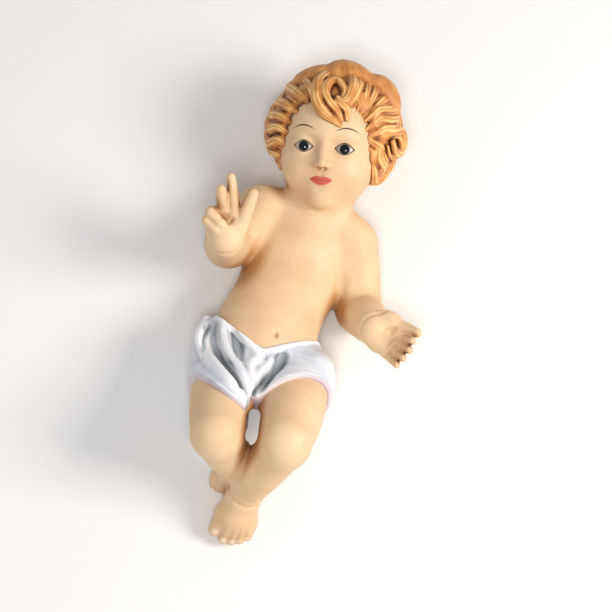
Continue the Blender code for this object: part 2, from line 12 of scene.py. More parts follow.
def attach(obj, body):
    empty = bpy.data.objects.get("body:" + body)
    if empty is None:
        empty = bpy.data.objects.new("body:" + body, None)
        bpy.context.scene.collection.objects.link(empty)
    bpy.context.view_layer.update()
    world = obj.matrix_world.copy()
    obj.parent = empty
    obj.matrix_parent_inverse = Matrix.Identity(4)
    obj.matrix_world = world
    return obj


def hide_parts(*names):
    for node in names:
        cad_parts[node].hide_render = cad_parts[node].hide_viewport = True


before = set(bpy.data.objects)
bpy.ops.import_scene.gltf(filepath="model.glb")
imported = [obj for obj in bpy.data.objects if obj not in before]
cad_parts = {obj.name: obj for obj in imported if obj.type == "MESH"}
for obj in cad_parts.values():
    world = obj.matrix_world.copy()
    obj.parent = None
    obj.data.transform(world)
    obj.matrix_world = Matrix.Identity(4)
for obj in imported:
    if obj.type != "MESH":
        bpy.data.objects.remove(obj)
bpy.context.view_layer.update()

# The flesh: trunk, limbs, hands and feet of cast plaster, sanded smooth and sprayed with a matt flesh oil
# paint, with painted shade that is warmer in the folds. It is modelled as soft masses whose distances flow
# together, and turned into one closed skin. A mass gives every point its distance from its surface.

MM = 0.001
MOST_FACES = 190000


def at(*place):
    return np.array(place, float)


def unit(vector):
    return vector / np.linalg.norm(vector)


def turned(forward, up):
    """Rows side, forward and up of a right-handed frame that faces forward, with up near the given one."""
    forward = unit(at(*forward))
    up = unit(at(*up) - at(*up) @ forward * forward)
    return np.stack([np.cross(forward, up), forward, up])


PELVIS = at(0, 1, 26)
BELLY = at(-3, 27, 27.5)
RIBS = at(4, 66, 23.5)
CHEST = at(6, 88, 27)
NECK = at(8, 96, 32)
HEAD = at(10, 147, 45)
SHOULDER = {"right": at(-24, 99, 31), "left": at(36, 93.5, 27)}
ELBOW = {"right": at(-38, 70, 41), "left": at(49.5, 55.5, 17)}
WRIST = {"right": at(-38.5, 60, 80), "left": at(60, 38, 44)}
HIP = {"right": at(-20, -4, 30), "left": at(22, -4, 31)}
KNEE = {"right": at(-16.5, -56, 74), "left": at(23, -52.5, 75)}
ANKLE = {"right": at(-3.5, -62, 33), "left": at(7.5, -73, 30)}

# Head, hands and feet turn in frames of their own. A head's rows are its right, its face and its crown.
HEAD_FRAME = turned((-0.13, -0.34, 0.93), (-0.13, 1, 0.3))
# A hand's rows are across towards the thumb, out along the fingers and out of the palm.
HAND_FRAME = {
    "right": turned((-0.22, 0.85, 0.46), (0.0, -0.45, 0.89)),
    "left": turned((0.92, -0.27, 0.22), (-0.25, -0.25, 0.93)) * at(-1, 1, 1)[:, None],
}
# A foot's rows are across towards the big toe, out along the toes and out of the instep.
FOOT_FRAME = {
    "right": turned((0.05, -0.42, -0.90), (0, -0.90, 0.42)) * at(-1, 1, 1)[:, None],
    "left": turned((-0.16, -0.86, -0.48), (0.03, -0.50, 0.86)),
}


def length(vectors):
    return np.sqrt(np.einsum("ij,ij->i", vectors, vectors))


def ball(points, centre, radius):
    return length(points - centre) - radius


def egg(points, centre, radii):
    local = points - at(*centre)
    radii = at(*radii)
    near = length(local / radii)
    return near * (near - 1) / np.maximum(length(local / radii**2), 1e-9)


def limb(points, start, end, start_radius, end_radius, bulge=0.0):
    """A round-ended taper, fuller by bulge at its middle."""
    run = at(*end) - at(*start)
    share = np.clip((points - start) @ run / (run @ run), 0, 1)
    radius = start_radius + (end_radius - start_radius) * share + bulge * 4 * share * (1 - share)
    return length(points - start - share[:, None] * run) - radius


def join(first, second, soft):
    """Both forms, with the crease between them filled over a width of soft."""
    reach = np.maximum(soft - np.abs(first - second), 0) / soft
    return np.minimum(first, second) - reach * reach * soft / 4


def cut(first, second, soft):
    """The first form without the second, with the edge between them rounded over soft."""
    return -join(-first, second, soft)


def rope(points, path, radii):
    """A round rope along a path, as thick at each of its points as radii says."""
    found = np.full(len(points), 1e3)
    for start, end, start_radius, end_radius in zip(path, path[1:], radii, radii[1:]):
        found = np.minimum(found, limb(points, start, end, start_radius, end_radius))
    return found


def near(points, places, reach):
    """Which points lie within reach of the box round some places."""
    places = np.array(places)
    return ((points > places.min(0) - reach) & (points < places.max(0) + reach)).all(1)


def added(points, body, form, places, reach, soft):
    """The body joined with a form that lies round the given places."""
    here = near(points, places, reach + soft)
    body[here] = join(body[here], form(points[here]), soft)
    return body


# The trunk and limbs are plump, smooth masses of the same cast, folded at the wrists and ankles. A limb's
# numbers are its radius at each end and how much fuller it is at its middle. The gap between the legs runs
# straight through along the line of sight from above the feet.

UPPER_ARM = (16.5, 13.6, 0.5)
FOREARM = (13.8, 10.8, 1.0)
THIGH = (19.5, 15.3, 2.3)
SHIN = (14.3, 10.8, 1.0)
NAVEL = at(3.3, 17, 54)
GAP_LOW, GAP_HIGH, GAP_RADII = at(2.8, -54, 75), at(1.2, -41.5, 75), (2.8, 3.8)
SIGHT = at(0.02, 0.3, -0.95)


def trunk(points):
    body = egg(points, RIBS, (31, 37, 24.5))
    body = join(body, egg(points, CHEST, (34, 17, 19)), 12)
    body = join(body, egg(points, BELLY, (31, 33, 26)), 14)
    body = join(body, egg(points, PELVIS, (34, 24, 25)), 14)
    body = join(body, limb(points, SHOULDER["right"] + at(2, 3, 2), NECK + at(-4, 10, 5), 12, 12), 8)
    body = join(body, limb(points, SHOULDER["left"] + at(-3, 3, 3), NECK + at(9, 12, 6), 12, 13), 8)
    body = join(body, limb(points, NECK - at(0, 6, 2), HEAD - at(0, 26, 4), 16, 16), 9)
    return cut(body, egg(points, NAVEL, (1.0, 1.5, 3.2)), 2.2)


def thigh_gap(points):
    """The opening between the legs, that looks straight through from above the feet."""
    flat = points - points[:, 2:] / SIGHT[2] * SIGHT
    low, high = (place - place[2] / SIGHT[2] * SIGHT for place in (GAP_LOW, GAP_HIGH))
    return limb(flat, low, high, *GAP_RADII)


def arm(points, side):
    upper = limb(points, SHOULDER[side], ELBOW[side], *UPPER_ARM)
    return join(upper, limb(points, ELBOW[side], WRIST[side], *FOREARM), 4)


def leg(points, side):
    thigh = limb(points, HIP[side], KNEE[side], *THIGH)
    return join(thigh, limb(points, KNEE[side], ANKLE[side], *SHIN), 4)


# The hands are cast with the arms, the right one blessing and the left one open. A digit is its root
# across, out and above the palm, its spread and three curls in degrees, the lengths of its three bones
# and its radii. The palm's lines are drawn flat and pressed in.

HAND_LENGTH = 40.0
HAND_SCALE = {"right": 0.87, "left": 0.95}
BLESSING = (
    ((9.5, 7.0, 1.5), 22, (4, -2, -2), (11, 9, 6), (5.8, 5.0, 4.4, 3.7)),
    ((6.4, 19.5, 0.0), -5, (6, 2, 2), (9.5, 7.5, 6), (4.4, 4.0, 3.6, 3.0)),
    ((-1.2, 19.5, 0.0), -4, (20, 6, 4), (7, 5.5, 4), (4.4, 4.3, 4.1, 3.6)),
    ((-8.6, 18.0, 1.0), -45, (78, 92, 24), (7, 9, 6.5), (4.0, 4.0, 3.7, 3.1)),
    ((-11.2, 12.5, 1.0), -50, (78, 92, 24), (6, 8, 6), (3.8, 3.7, 3.4, 2.8)),
)
OPEN = (
    ((7.6, 4.0, 1.0), 2, (2, 10, 8), (11, 8, 6), (5.0, 4.2, 3.8, 3.1)),
    ((2.6, 15.0, 0.0), 0, (22, 24, 18), (8.5, 6.5, 5.5), (3.2, 3.0, 2.8, 2.5)),
    ((-2.4, 15.8, 0.0), -4, (22, 24, 18), (8.5, 6.5, 5.5), (3.2, 3.0, 2.8, 2.5)),
    ((-7.4, 15.4, 0.0), -9, (24, 26, 18), (8.5, 6.5, 5.5), (3.1, 2.9, 2.7, 2.4)),
    ((-12.0, 14.2, 0.0), -14, (24, 26, 18), (8, 6.5, 5), (2.9, 2.7, 2.5, 2.2)),
)
DIGITS = {"right": BLESSING, "left": OPEN}
PALM_LINES = (((-9, 14, 0), (-3, 15, 0), (4, 19, 0)), ((6, 15, 0), (1, 9, 0), (1.5, 2, 0)))
LINE_DEPTH, LINE_WIDTH = 0.6, 0.9


def digit_path(root, spread, curls, bones):
    """The joints of a finger, bent towards the palm by each curl in turn."""
    path, bend, spread = [at(*root)], 0.0, np.radians(spread)
    for curl, bone in zip(curls, bones):
        bend += np.radians(curl)
        flat = np.cos(bend)
        path.append(path[-1] + bone * at(flat * np.sin(spread), flat * np.cos(spread), np.sin(bend)))
    return path


def hand(points, side):
    local = (points - WRIST[side]) @ HAND_FRAME[side].T / HAND_SCALE[side]
    palm = egg(local, (-1.5, 11.5, -0.5), (12, 12.5, 6))
    palm = join(palm, egg(local, (8.0, 8.0, 2.5), (6.8, 9.5, 5.2)), 3)
    palm = join(palm, egg(local, (-8, 7, 2.0), (5.8, 8.5, 4.6)), 3)
    palm = join(palm, limb(local, at(6, 17.5, 1.5), at(-10, 15, 1.5), 4.2, 3.8), 3)
    palm = join(palm, limb(local, at(0, -5, -2), at(0, 3, 0), 8.5, 8), 5)
    palm = join(palm, egg(local, (0, 1.5, 1.0), (11, 6.5, 7)), 2)
    palm = cut(palm, egg(local, (-1, 14, 9), (4.5, 3.5, 3)), 5)
    for root, spread, curls, bones, radii in DIGITS[side]:
        palm = join(palm, rope(local, digit_path(root, spread, curls, bones), radii), 1.2)
    for line in PALM_LINES:
        off = rope(local * at(1, 1, 0), [at(*place) for place in line], (0, 0, 0))
        palm += LINE_DEPTH * np.exp(-((off / LINE_WIDTH) ** 2)) * np.clip(local[:, 2] / 2, 0, 1)
    return palm * HAND_SCALE[side]


# The feet are cast with the legs, chubby and pointed, with the toes in an arc and parted by grooves. A toe
# is how far across and out along the sole its tip lies, and its radii at root and tip.

FOOT_LENGTH = 46.0
TOES = (
    (8.0, 37.5, 4.8, 4.4),
    (1.6, 40.0, 3.6, 3.2),
    (-3.6, 39.0, 3.4, 3.0),
    (-8.0, 36.6, 3.2, 2.8),
    (-11.6, 33.0, 3.0, 2.6),
)
TOE_LEVEL = -6.5


def foot(points, side):
    local = (points - ANKLE[side]) @ FOOT_FRAME[side].T
    sole = limb(local, at(0, -5, -6), at(0, 4, -3), 9.5, 9.5)
    sole = join(sole, limb(local, at(0, 2, -2), at(1, 20, -4.5), 10, 9), 6)
    sole = join(sole, egg(local, (-1.0, 23, -5.5), (13.5, 13, 6.5)), 6)
    for across, out, start_radius, end_radius in TOES:
        root, tip = at(across * 0.93, out - 9, -5.5), at(across, out - end_radius, TOE_LEVEL)
        sole = join(sole, limb(local, root, tip, start_radius, end_radius), 1.1)
    for inner, outer in zip(TOES, TOES[1:]):
        across, out = (inner[0] + outer[0]) / 2, (inner[1] + outer[1]) / 2
        parting = limb(local, at(across * 0.93, out - 11, 2.2), at(across, out - 4, -2.5), 0.5, 1.0)
        sole = cut(sole, parting, 2.0)
    return sole


FOLD_PAST, FOLD_DEPTH, FOLD_WIDTH = 3.5, 0.9, 1.3


def joint_fold(points, joint, way):
    """How far the skin is drawn in where it folds round a wrist or an ankle."""
    off = points - joint
    along = off @ unit(way)
    out = length(off - along[:, None] * unit(way))
    groove = FOLD_DEPTH * np.exp(-(((along - FOLD_PAST) / FOLD_WIDTH) ** 2))
    return groove * np.clip((15.5 - out) / 3, 0, 1)


def trunk_and_limbs(points):
    body = trunk(points)
    for side in ("right", "left"):
        body = added(points, body, lambda p: arm(p, side), [SHOULDER[side], ELBOW[side], WRIST[side]], 18, 6)
        body = added(points, body, lambda p: leg(p, side), [HIP[side], KNEE[side], ANKLE[side]], 24, 5)
    body = cut(body, thigh_gap(points), 3)
    for side in ("right", "left"):
        body = added(points, body, lambda p: hand(p, side), [WRIST[side]], HAND_LENGTH + 4, 2)
        body = added(points, body, lambda p: foot(p, side), [ANKLE[side]], FOOT_LENGTH, 2)
        for joint, before in ((WRIST[side], ELBOW[side]), (ANKLE[side], KNEE[side])):
            here = near(points, [joint], 20)
            body[here] += joint_fold(points[here], joint, joint - before)
    return body


def stretched(values, axis):
    """A grid of values with twice the steps along one axis."""
    places = np.arange((values.shape[axis] - 1) * 2 + 1) / 2
    first = np.minimum(places.astype(int), values.shape[axis] - 2)
    share = (places - first).reshape([-1 if a == axis else 1 for a in range(3)]).astype(np.float32)
    low, high = np.take(values, first, axis), np.take(values, first + 1, axis)
    return low + (high - low) * share


def sampled(form, low, high, cell, halvings=2):
    """A form's distances on a grid of cells, from a coarse grid made ever finer near its surface."""
    wide = cell * 2**halvings
    counts = np.ceil((high - low) / wide).astype(int) + 1
    grid = np.stack(np.meshgrid(*[np.arange(n) for n in counts], indexing="ij"), -1).reshape(-1, 3)
    values = form(low + grid * wide).reshape(counts).astype(np.float32)
    for _ in range(halvings):
        close_to = 0.9 * wide + 0.5
        wide /= 2
        for axis in range(3):
            values = stretched(values, axis)
        close = np.flatnonzero(np.abs(values) < close_to)
        for block in np.array_split(close, len(close) // 200000 + 1):
            places = np.stack(np.unravel_index(block, values.shape), 1)
            values.ravel()[block] = form(low + places * wide)
    return values


def netted(values, low, cell):
    """Points and quads of the closed net round the grid's negative values."""
    inside = values < 0
    hops = np.array((values.shape[1] * values.shape[2], values.shape[2], 1))
    places, quads = [], []
    for axis in range(3):
        edges = np.argwhere(np.diff(inside, axis=axis))
        start = edges @ hops
        first, second = values.ravel()[start], values.ravel()[start + hops[axis]]
        place = edges.astype(float)
        place[:, axis] += first / (first - second)
        across, along = hops[(axis + 1) % 3], hops[(axis + 2) % 3]
        ring = np.stack([start - across - along, start - along, start, start - across], 1)
        ring[first > 0] = ring[first > 0, ::-1]
        places.append(np.repeat(place, 4, axis=0))
        quads.append(ring)
    quads = np.concatenate(quads)
    cells, owner = np.unique(quads.ravel(), return_inverse=True)
    places = np.concatenate(places)
    share = np.bincount(owner)
    points = np.stack([np.bincount(owner, places[:, a]) / share for a in range(3)], 1)
    return low + points * cell, owner.reshape(-1, 4)


# The head is cast with the body: a skull, full cheeks, a small nose and chin, modelled lips and a lid round
# each eye. Places on it are across to its right, out of the face and up to the crown. An eye is called
# right or left as it is seen from in front.

EYE_SPREAD, EYE_DEPTH, EYE_LEVEL = 12.6, 25.8, -3.0
EYE_RADIUS = 7.5
LID = 1.6
HEAD_REACH = 50
EYE_WIDTH, EYE_HEIGHT = 1.6 * EYE_RADIUS, 0.88 * EYE_RADIUS


def eye_place(side):
    return at({"right": -1, "left": 1}[side] * EYE_SPREAD, EYE_DEPTH, EYE_LEVEL)


def face(local):
    skull = egg(local, (0, 0, 5), (33, 37, 35))
    skull = join(skull, egg(local, (0, 9, -11), (27.5, 25, 28)), 8)
    skull = join(skull, egg(local, (0, 12, -27), (18.5, 16, 12)), 8)
    skull = join(skull, egg(local, (0, 25.5, -33.5), (7, 6, 5.5)), 8)
    for side in (-1, 1):
        skull = join(skull, egg(local, (side * 13.8, 20, -16.5), (10.2, 11.2, 11)), 7)
        skull = join(skull, egg(local, (side * 28.5, -4, -9), (4, 6, 9)), 2)
        skull = cut(skull, egg(local, (side * 11.6, 38.2, -2.5), (8, 4.8, 5)), 7)
    skull = join(skull, egg(local, (0, 25.5, -22.5), (10, 8, 7)), 6)
    skull = join(skull, limb(local, at(0, 32.2, 0), at(0, 37.3, -12.4), 1.9, 3.1), 3.4)
    for side in (-1, 1):
        skull = join(skull, ball(local, at(side * 3.5, 34.6, -13.4), 2.1), 1.4)
        skull = cut(skull, egg(local, (side * 1.9, 35.2, -16.0), (1.0, 1.4, 0.8)), 0.8)
    skull = cut(skull, limb(local, at(0, 36.2, -17.2), at(0, 35.6, -19.6), 0.5, 0.6), 2.4)
    skull = join(skull, lips(local), 1.2)
    return cut(skull, egg(local, (0, 35.6, -28.2), (5, 2.2, 1.6)), 3)


def lips(local):
    """Two full lips with a bow in the upper one, closed in a line that lifts at the corners."""
    bow = ((-2.2, -21.2), (0, -21.6), (2.2, -21.2))
    upper = ((-7.6, -22.5), (-4.8, -21.9), *bow, (4.8, -21.9), (7.6, -22.5))
    lower = ((-6.2, -23.5), (-3.4, -24.6), (0, -25.0), (3.4, -24.6), (6.2, -23.5))
    seam = ((-7.4, -22.443), (-3.4, -22.961), (0, -23.1), (3.4, -22.961), (7.4, -22.443))
    upper = [at(across, 32.9 - across**2 * 0.055, up) for across, up in upper]
    lower = [at(across, 32.6 - across**2 * 0.06, up) for across, up in lower]
    seam = [at(across, 34.6 - across**2 * 0.055, up) for across, up in seam]
    both = np.minimum(
        rope(local, upper, (0.3, 0.9, 1.35, 1.1, 1.35, 0.9, 0.3)),
        rope(local, lower, (0.4, 1.3, 1.6, 1.3, 0.4)),
    )
    return cut(both, rope(local, seam, (0.2, 0.35, 0.4, 0.35, 0.2)), 0.5)


def head(points):
    local = (points - HEAD) @ HEAD_FRAME.T
    skull = face(local)
    for side in ("right", "left"):
        place = eye_place(side)
        skull = join(skull, ball(local, place, EYE_RADIUS + LID), 2)
    return skull


def flesh(points):
    return added(points, trunk_and_limbs(points), head, [HEAD], HEAD_REACH, 5)


def placed(name, points, faces):
    """A mesh object of points in millimetres, shaded smooth."""
    mesh = bpy.data.meshes.new(name)
    mesh.from_pydata((points * MM).tolist(), [], faces.tolist())
    mesh.shade_smooth()
    made = bpy.data.objects.new(name, mesh)
    bpy.context.scene.collection.objects.link(made)
    return made


def cast(name, form, low, high, cell, most_faces):
    """A form's skin as an object of at most so many triangles."""
    made = placed(name, *netted(sampled(form, low, high, cell), low, cell))
    triangles = 2 * len(made.data.polygons)
    if triangles > most_faces:
        fewer = made.modifiers.new("fewer_faces", "DECIMATE")
        fewer.ratio = most_faces / triangles
        solid = bpy.data.meshes.new_from_object(made.evaluated_get(bpy.context.evaluated_depsgraph_get()))
        made.modifiers.clear()
        made.data = solid
        solid.name = name
        solid.shade_smooth()
    return made


def read(mesh, what, kind):
    found = np.zeros(3 * len(mesh.vertices), np.float32)
    getattr(mesh, what).foreach_get(kind, found)
    return found.reshape(-1, 3).astype(float)


def keep(mesh, name, values):
    """Stores one number a vertex for the paint to read."""
    mesh.attributes.new(name, "FLOAT", "POINT").data.foreach_set("value", values.astype(np.float32))


def hemmed_in(mesh, form, reaches):
    """How hemmed in each vertex is by the form over each reach, from 0 in the open to 1 in a crease."""
    points = read(mesh, "vertices", "co") / MM
    normals = read(mesh, "vertex_normals", "vector")
    found = np.zeros(len(points))
    for block in np.array_split(np.arange(len(points)), len(points) // 200000 + 1):
        for reach in reaches:
            room = form(points[block] + normals[block] * reach)
            found[block] += np.clip(1 - room / reach, 0, 1) / len(reaches)
    return found


def linear(colour):
    """An sRGB hex colour as linear red, green, blue and alpha."""
    parts = np.array([int(colour[i : i + 2], 16) for i in (1, 3, 5)]) / 255
    return (*np.where(parts < 0.04045, parts / 12.92, ((parts + 0.055) / 1.055) ** 2.4), 1)


def add(tree, kind, inputs=None, **settings):
    """A node with its settings. An input is set to a value, or linked from an output or a node's first."""
    made = tree.nodes.new(kind)
    for name, value in settings.items():
        setattr(made, name, value)
    for name, value in (inputs or {}).items():
        if isinstance(value, bpy.types.Node):
            value = value.outputs[0]
        if isinstance(value, bpy.types.NodeSocket):
            tree.links.new(value, made.inputs[name])
        else:
            made.inputs[name].default_value = value
    return made


def finish_named(name):
    """An empty material and its node tree."""
    made = bpy.data.materials.new(name)
    made.use_nodes = True
    made.node_tree.nodes.clear()
    return made, made.node_tree


def coated(tree, ground, *coats):
    """The ground colour with coats of paint laid over it, each as thick as its share from 0 to 1."""
    for share, colour in coats:
        coat = {0: share, 6: ground, 7: linear(colour)}
        ground = add(tree, "ShaderNodeMix", coat, data_type="RGBA").outputs[2]
    return ground


def flesh_colour(tree):
    """Warm cream blotched by spray, flecked with dirt, with painted shade warm in folds, dark in creases."""
    place = add(tree, "ShaderNodeTexCoord").outputs["Object"]
    # Blotches about 26 mm across, and flecks under 1 mm across, some 40 mm apart.
    spray = {"Vector": place, "Scale": 38.0, "Detail": 3.0, "Roughness": 0.55}
    blotch = add(tree, "ShaderNodeTexNoise", spray)
    share = add(tree, "ShaderNodeMapRange", {"Value": blotch, "From Min": 0.35, "From Max": 0.68})
    cells = add(tree, "ShaderNodeTexVoronoi", {"Vector": place, "Scale": 24.0})
    dirt = {"Value": cells, "From Min": 0.016, "From Max": 0.008, "To Max": 0.7}
    fleck = add(tree, "ShaderNodeMapRange", dirt)
    # Painted shade: warm brown where the figure hems a place in over its folds, darker brown in fine creases.
    fold_shade = add(tree, "ShaderNodeAttribute", attribute_name="fold_shade").outputs["Fac"]
    warm_painted_shade = add(tree, "ShaderNodeMapRange", {"Value": fold_shade, "From Min": 0.15, "From Max": 0.75})
    crease_shade = add(tree, "ShaderNodeAttribute", attribute_name="crease_shade").outputs["Fac"]
    dark_painted_shade = add(tree, "ShaderNodeMapRange", {"Value": crease_shade, "From Min": 0.3, "From Max": 0.95})
    coats = ((share, "#e0b98e"), (warm_painted_shade, "#c08d5a"), (dark_painted_shade, "#8a5a31"), (fleck, "#6e4a2e"))
    return coated(tree, linear("#eaca9f"), *coats), place


def matt_paint(tree, colour, place, roughness):
    """Brushed oil paint on plaster: a gloss in patches 11 mm across, over brush marks 0.8 mm across."""
    marks = add(tree, "ShaderNodeTexNoise", {"Vector": place, "Scale": 1200.0, "Detail": 2.0})
    bump = add(tree, "ShaderNodeBump", {"Height": marks, "Strength": 0.12, "Distance": 0.0003})
    gloss = add(tree, "ShaderNodeTexNoise", {"Vector": place, "Scale": 90.0, "Detail": 2.0})
    ends = {"To Min": roughness - 0.08, "To Max": roughness + 0.08}
    rough = add(tree, "ShaderNodeMapRange", {"Value": gloss, **ends})
    paint = {"Base Color": colour, "Roughness": rough, "Normal": bump, "IOR": 1.45}
    add(tree, "ShaderNodeOutputMaterial", {"Surface": add(tree, "ShaderNodeBsdfPrincipled", paint)})


def nails(points):
    """1 on the nail of every toe and 0 away from them."""
    found = np.zeros(len(points))
    for side in ("right", "left"):
        local = (points - ANKLE[side]) @ FOOT_FRAME[side].T
        for across, out, _, radius in TOES:
            off = (local - at(across, out - 1.0 * radius, TOE_LEVEL + 0.85 * radius)) / (0.7 * radius)
            found = np.maximum(found, np.clip(1.7 - 1.6 * length(off), 0, 1))
    return found


# Sprayed flesh oil paint over smooth plaster: the eye sees a warm, almost matt skin, with painted shade
# that is browner where limbs meet and in creases, and paler on the nails.
flesh_paint, tree = finish_named("sprayed_flesh_oil_paint")
colour, place = flesh_colour(tree)
nail = add(tree, "ShaderNodeAttribute", attribute_name="nail").outputs["Fac"]
thin = add(tree, "ShaderNodeMath", {0: nail, 1: 0.6}, operation="MULTIPLY")
matt_paint(tree, coated(tree, colour, (thin, "#f8e6cb")), place, 0.56)

# The cast is skinned in two pieces that meet at the throat, so that the head can be finer.
THROAT, THROAT_WAY = at(9, 97, 60), unit(at(0, 0.914, 0.406))
THROAT_REACH = 62
ARMPIT = -32.0
SEAM = 0.5


def past_throat(points):
    """How far each place is past the cut that runs from under the chin to the back of the neck."""
    past = np.minimum((points - THROAT) @ THROAT_WAY, THROAT_REACH - length(points - HEAD))
    return np.minimum(past, points[:, 0] - ARMPIT)


def body_flesh(points):
    return np.maximum(flesh(points), past_throat(points) - SEAM)


def above_floor(form):
    return lambda points: np.maximum(form(points), -points[:, 2])


body = cast("flesh_body", above_floor(body_flesh), at(-72, -120, -6), at(100, 126, 118), 0.75, MOST_FACES)
# Painted shade for the paint to read: how hemmed in each vertex is by the flesh, over folds and fine creases.
keep(body.data, "fold_shade", hemmed_in(body.data, flesh, (6, 13)))
keep(body.data, "crease_shade", hemmed_in(body.data, flesh, (1.0, 2.2)))
keep(body.data, "nail", nails(read(body.data, "vertices", "co") / MM))
body.data.materials.append(flesh_paint)
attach(body, "root")
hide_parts("figure")


# The face and neck are the finer piece of the cast's skin, cut open where the glass eyes show. The hair
# hides where the skin stops, behind and above the cheeks.

FACE_BACK, FACE_FOOT = -6.0, -17.0
LENS = 0.1


def head_flesh(points):
    """The face and the front of the skull and neck; the hair hides where it stops."""
    local = (points - HEAD) @ HEAD_FRAME.T
    under_hair = np.minimum(FACE_BACK - local[:, 1], local[:, 2] - FACE_FOOT)
    skin = np.maximum(flesh(points), np.maximum(under_hair, -past_throat(points) - SEAM))
    for side in ("right", "left"):
        from_eye = local - eye_place(side)
        lens = np.abs(from_eye[:, 2]) - EYE_HEIGHT / 2 * (1 - (2 * from_eye[:, 0] / EYE_WIDTH) ** 2)
        steep = np.hypot(1, 4 * EYE_HEIGHT * from_eye[:, 0] / EYE_WIDTH**2)
        skin = cut(skin, np.maximum(lens / steep, -from_eye[:, 1]), 0.8)
        skin = np.maximum(skin, EYE_RADIUS + LENS - length(from_eye))
    return skin


def on_head(local):
    return HEAD + local @ HEAD_FRAME


def arch(tree, across, up, middle, half, top, drop):
    """How far a place is above a curved line, and the square of how far along it is, 1 at its ends."""
    along = add(tree, "ShaderNodeMath", {0: across, 1: middle}, operation="SUBTRACT")
    along = add(tree, "ShaderNodeMath", {0: along, 1: half}, operation="DIVIDE")
    square = add(tree, "ShaderNodeMath", {0: along, 1: along}, operation="MULTIPLY")
    above = add(tree, "ShaderNodeMath", {0: square, 1: drop, 2: up}, operation="MULTIPLY_ADD")
    return add(tree, "ShaderNodeMath", {0: above, 1: top}, operation="SUBTRACT"), square


def stroke(tree, above, square, thick):
    """1 in a brush line that is thick at its middle and thins out to its ends."""
    half = add(tree, "ShaderNodeMath", {0: square, 1: -thick, 2: thick}, operation="MULTIPLY_ADD")
    off = add(tree, "ShaderNodeMath", {0: above}, operation="ABSOLUTE")
    inside = add(tree, "ShaderNodeMath", {0: half, 1: off}, operation="SUBTRACT")
    return add(tree, "ShaderNodeMapRange", {"Value": inside, "From Min": -0.1, "From Max": 0.15})


# The same sprayed flesh, with brows, eyelid lines and lips brushed on: the eye sees fine brown strokes
# and a flat red mouth with a darker line between the lips. Paint stays on the front of the head.
painted_face, tree = finish_named("sprayed_flesh_with_painted_features")
plain, place = flesh_colour(tree)
turn = Matrix(HEAD_FRAME)
into_head = {"Location": -(turn @ Vector(HEAD)), "Rotation": turn.to_euler(), "Scale": (1000, 1000, 1000)}
local = add(tree, "ShaderNodeMapping", {"Vector": place, **into_head})
split = add(tree, "ShaderNodeSeparateXYZ", {0: local})
sideways = add(tree, "ShaderNodeMath", {0: split}, operation="ABSOLUTE")
up = split.outputs[2]
brow = stroke(tree, *arch(tree, sideways, up, 13.5, 8.0, 9.6, 3.2), 0.5)
coats = [(brow, "#4a2c1e")]
for half in (EYE_HEIGHT / 2, -EYE_HEIGHT / 2):
    lid = arch(tree, sideways, up, EYE_SPREAD, EYE_WIDTH / 2, EYE_LEVEL + half, half)
    coats.append((stroke(tree, *lid, 0.55), "#5b4632"))
above_chin, _ = arch(tree, sideways, up, 0.0, 7.4, -26.1, -3.7)
above_bow, _ = arch(tree, sideways, up, 2.4, 5.2, -20.5, 2.4)
under_bow = add(tree, "ShaderNodeMath", {0: above_bow, 1: -1.0}, operation="MULTIPLY")
inside = add(tree, "ShaderNodeMath", {0: above_chin, 1: under_bow}, operation="MINIMUM")
lip = add(tree, "ShaderNodeMapRange", {"Value": inside, "From Min": -0.2, "From Max": 0.5})
parting = stroke(tree, *arch(tree, sideways, up, 0.0, 6.8, -23.1, -0.7), 0.22)
painted = coated(tree, plain, *coats, (lip, "#c65347"), (parting, "#8a322b"))
in_front = add(tree, "ShaderNodeMapRange", {"Value": split.outputs[1], "From Min": 12.0, "From Max": 16.0})
face_colour = add(tree, "ShaderNodeMix", {0: in_front, 6: plain, 7: painted}, data_type="RGBA")
matt_paint(tree, face_colour.outputs[2], place, 0.52)

face_skin = cast("flesh_head", head_flesh, at(-36, 84, -6), at(58, 200, 106), 0.42, MOST_FACES)
# Painted shade for the paint to read: how hemmed in each vertex is by the flesh, over folds and fine creases.
keep(face_skin.data, "fold_shade", hemmed_in(face_skin.data, flesh, (6, 13)))
keep(face_skin.data, "crease_shade", hemmed_in(face_skin.data, flesh, (0.8, 1.6)))
face_skin.data.materials.append(painted_face)
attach(face_skin, "root")
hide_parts("figure")


# The eyes are blown glass globes set into the head from behind, each with a near-black iris fused into
# warm white glass, and polished. Their names give the side as seen from in front. The colour changes with
# how far a place is from the pupil's middle.

PUPIL, IRIS, WHITE, RIM = 1.3, 2.85, 4.0, 5.0
RINGS, SPOKES = 48, 64
SHADES = (
    (PUPIL - 0.1, "#07080a"),
    (PUPIL + 0.2, "#171d26"),
    (IRIS - 0.6, "#10151c"),
    (IRIS, "#07090c"),
    (IRIS + 0.3, "#a39c8d"),
    (WHITE, "#d0cabb"),
)

# Blown and polished glass: the eye sees deep black with one sharp highlight, in a dull warm white.
glass, tree = finish_named("blown_glass_eye")
out = add(tree, "ShaderNodeAttribute", attribute_name="from_pupil").outputs["Fac"]
share = add(tree, "ShaderNodeMath", {0: out, 1: RIM}, operation="DIVIDE")
tone = add(tree, "ShaderNodeValToRGB", {"Fac": share})
tone.color_ramp.elements[0].color = linear("#07080a")
tone.color_ramp.elements[1].color = linear("#cdc7b8")
for stop, shade in SHADES:
    tone.color_ramp.elements.new(stop / RIM).color = linear(shade)
polish = {"Base Color": tone, "Roughness": 0.03, "IOR": 1.52, "Specular IOR Level": 0.35}
add(tree, "ShaderNodeOutputMaterial", {"Surface": add(tree, "ShaderNodeBsdfPrincipled", polish)})

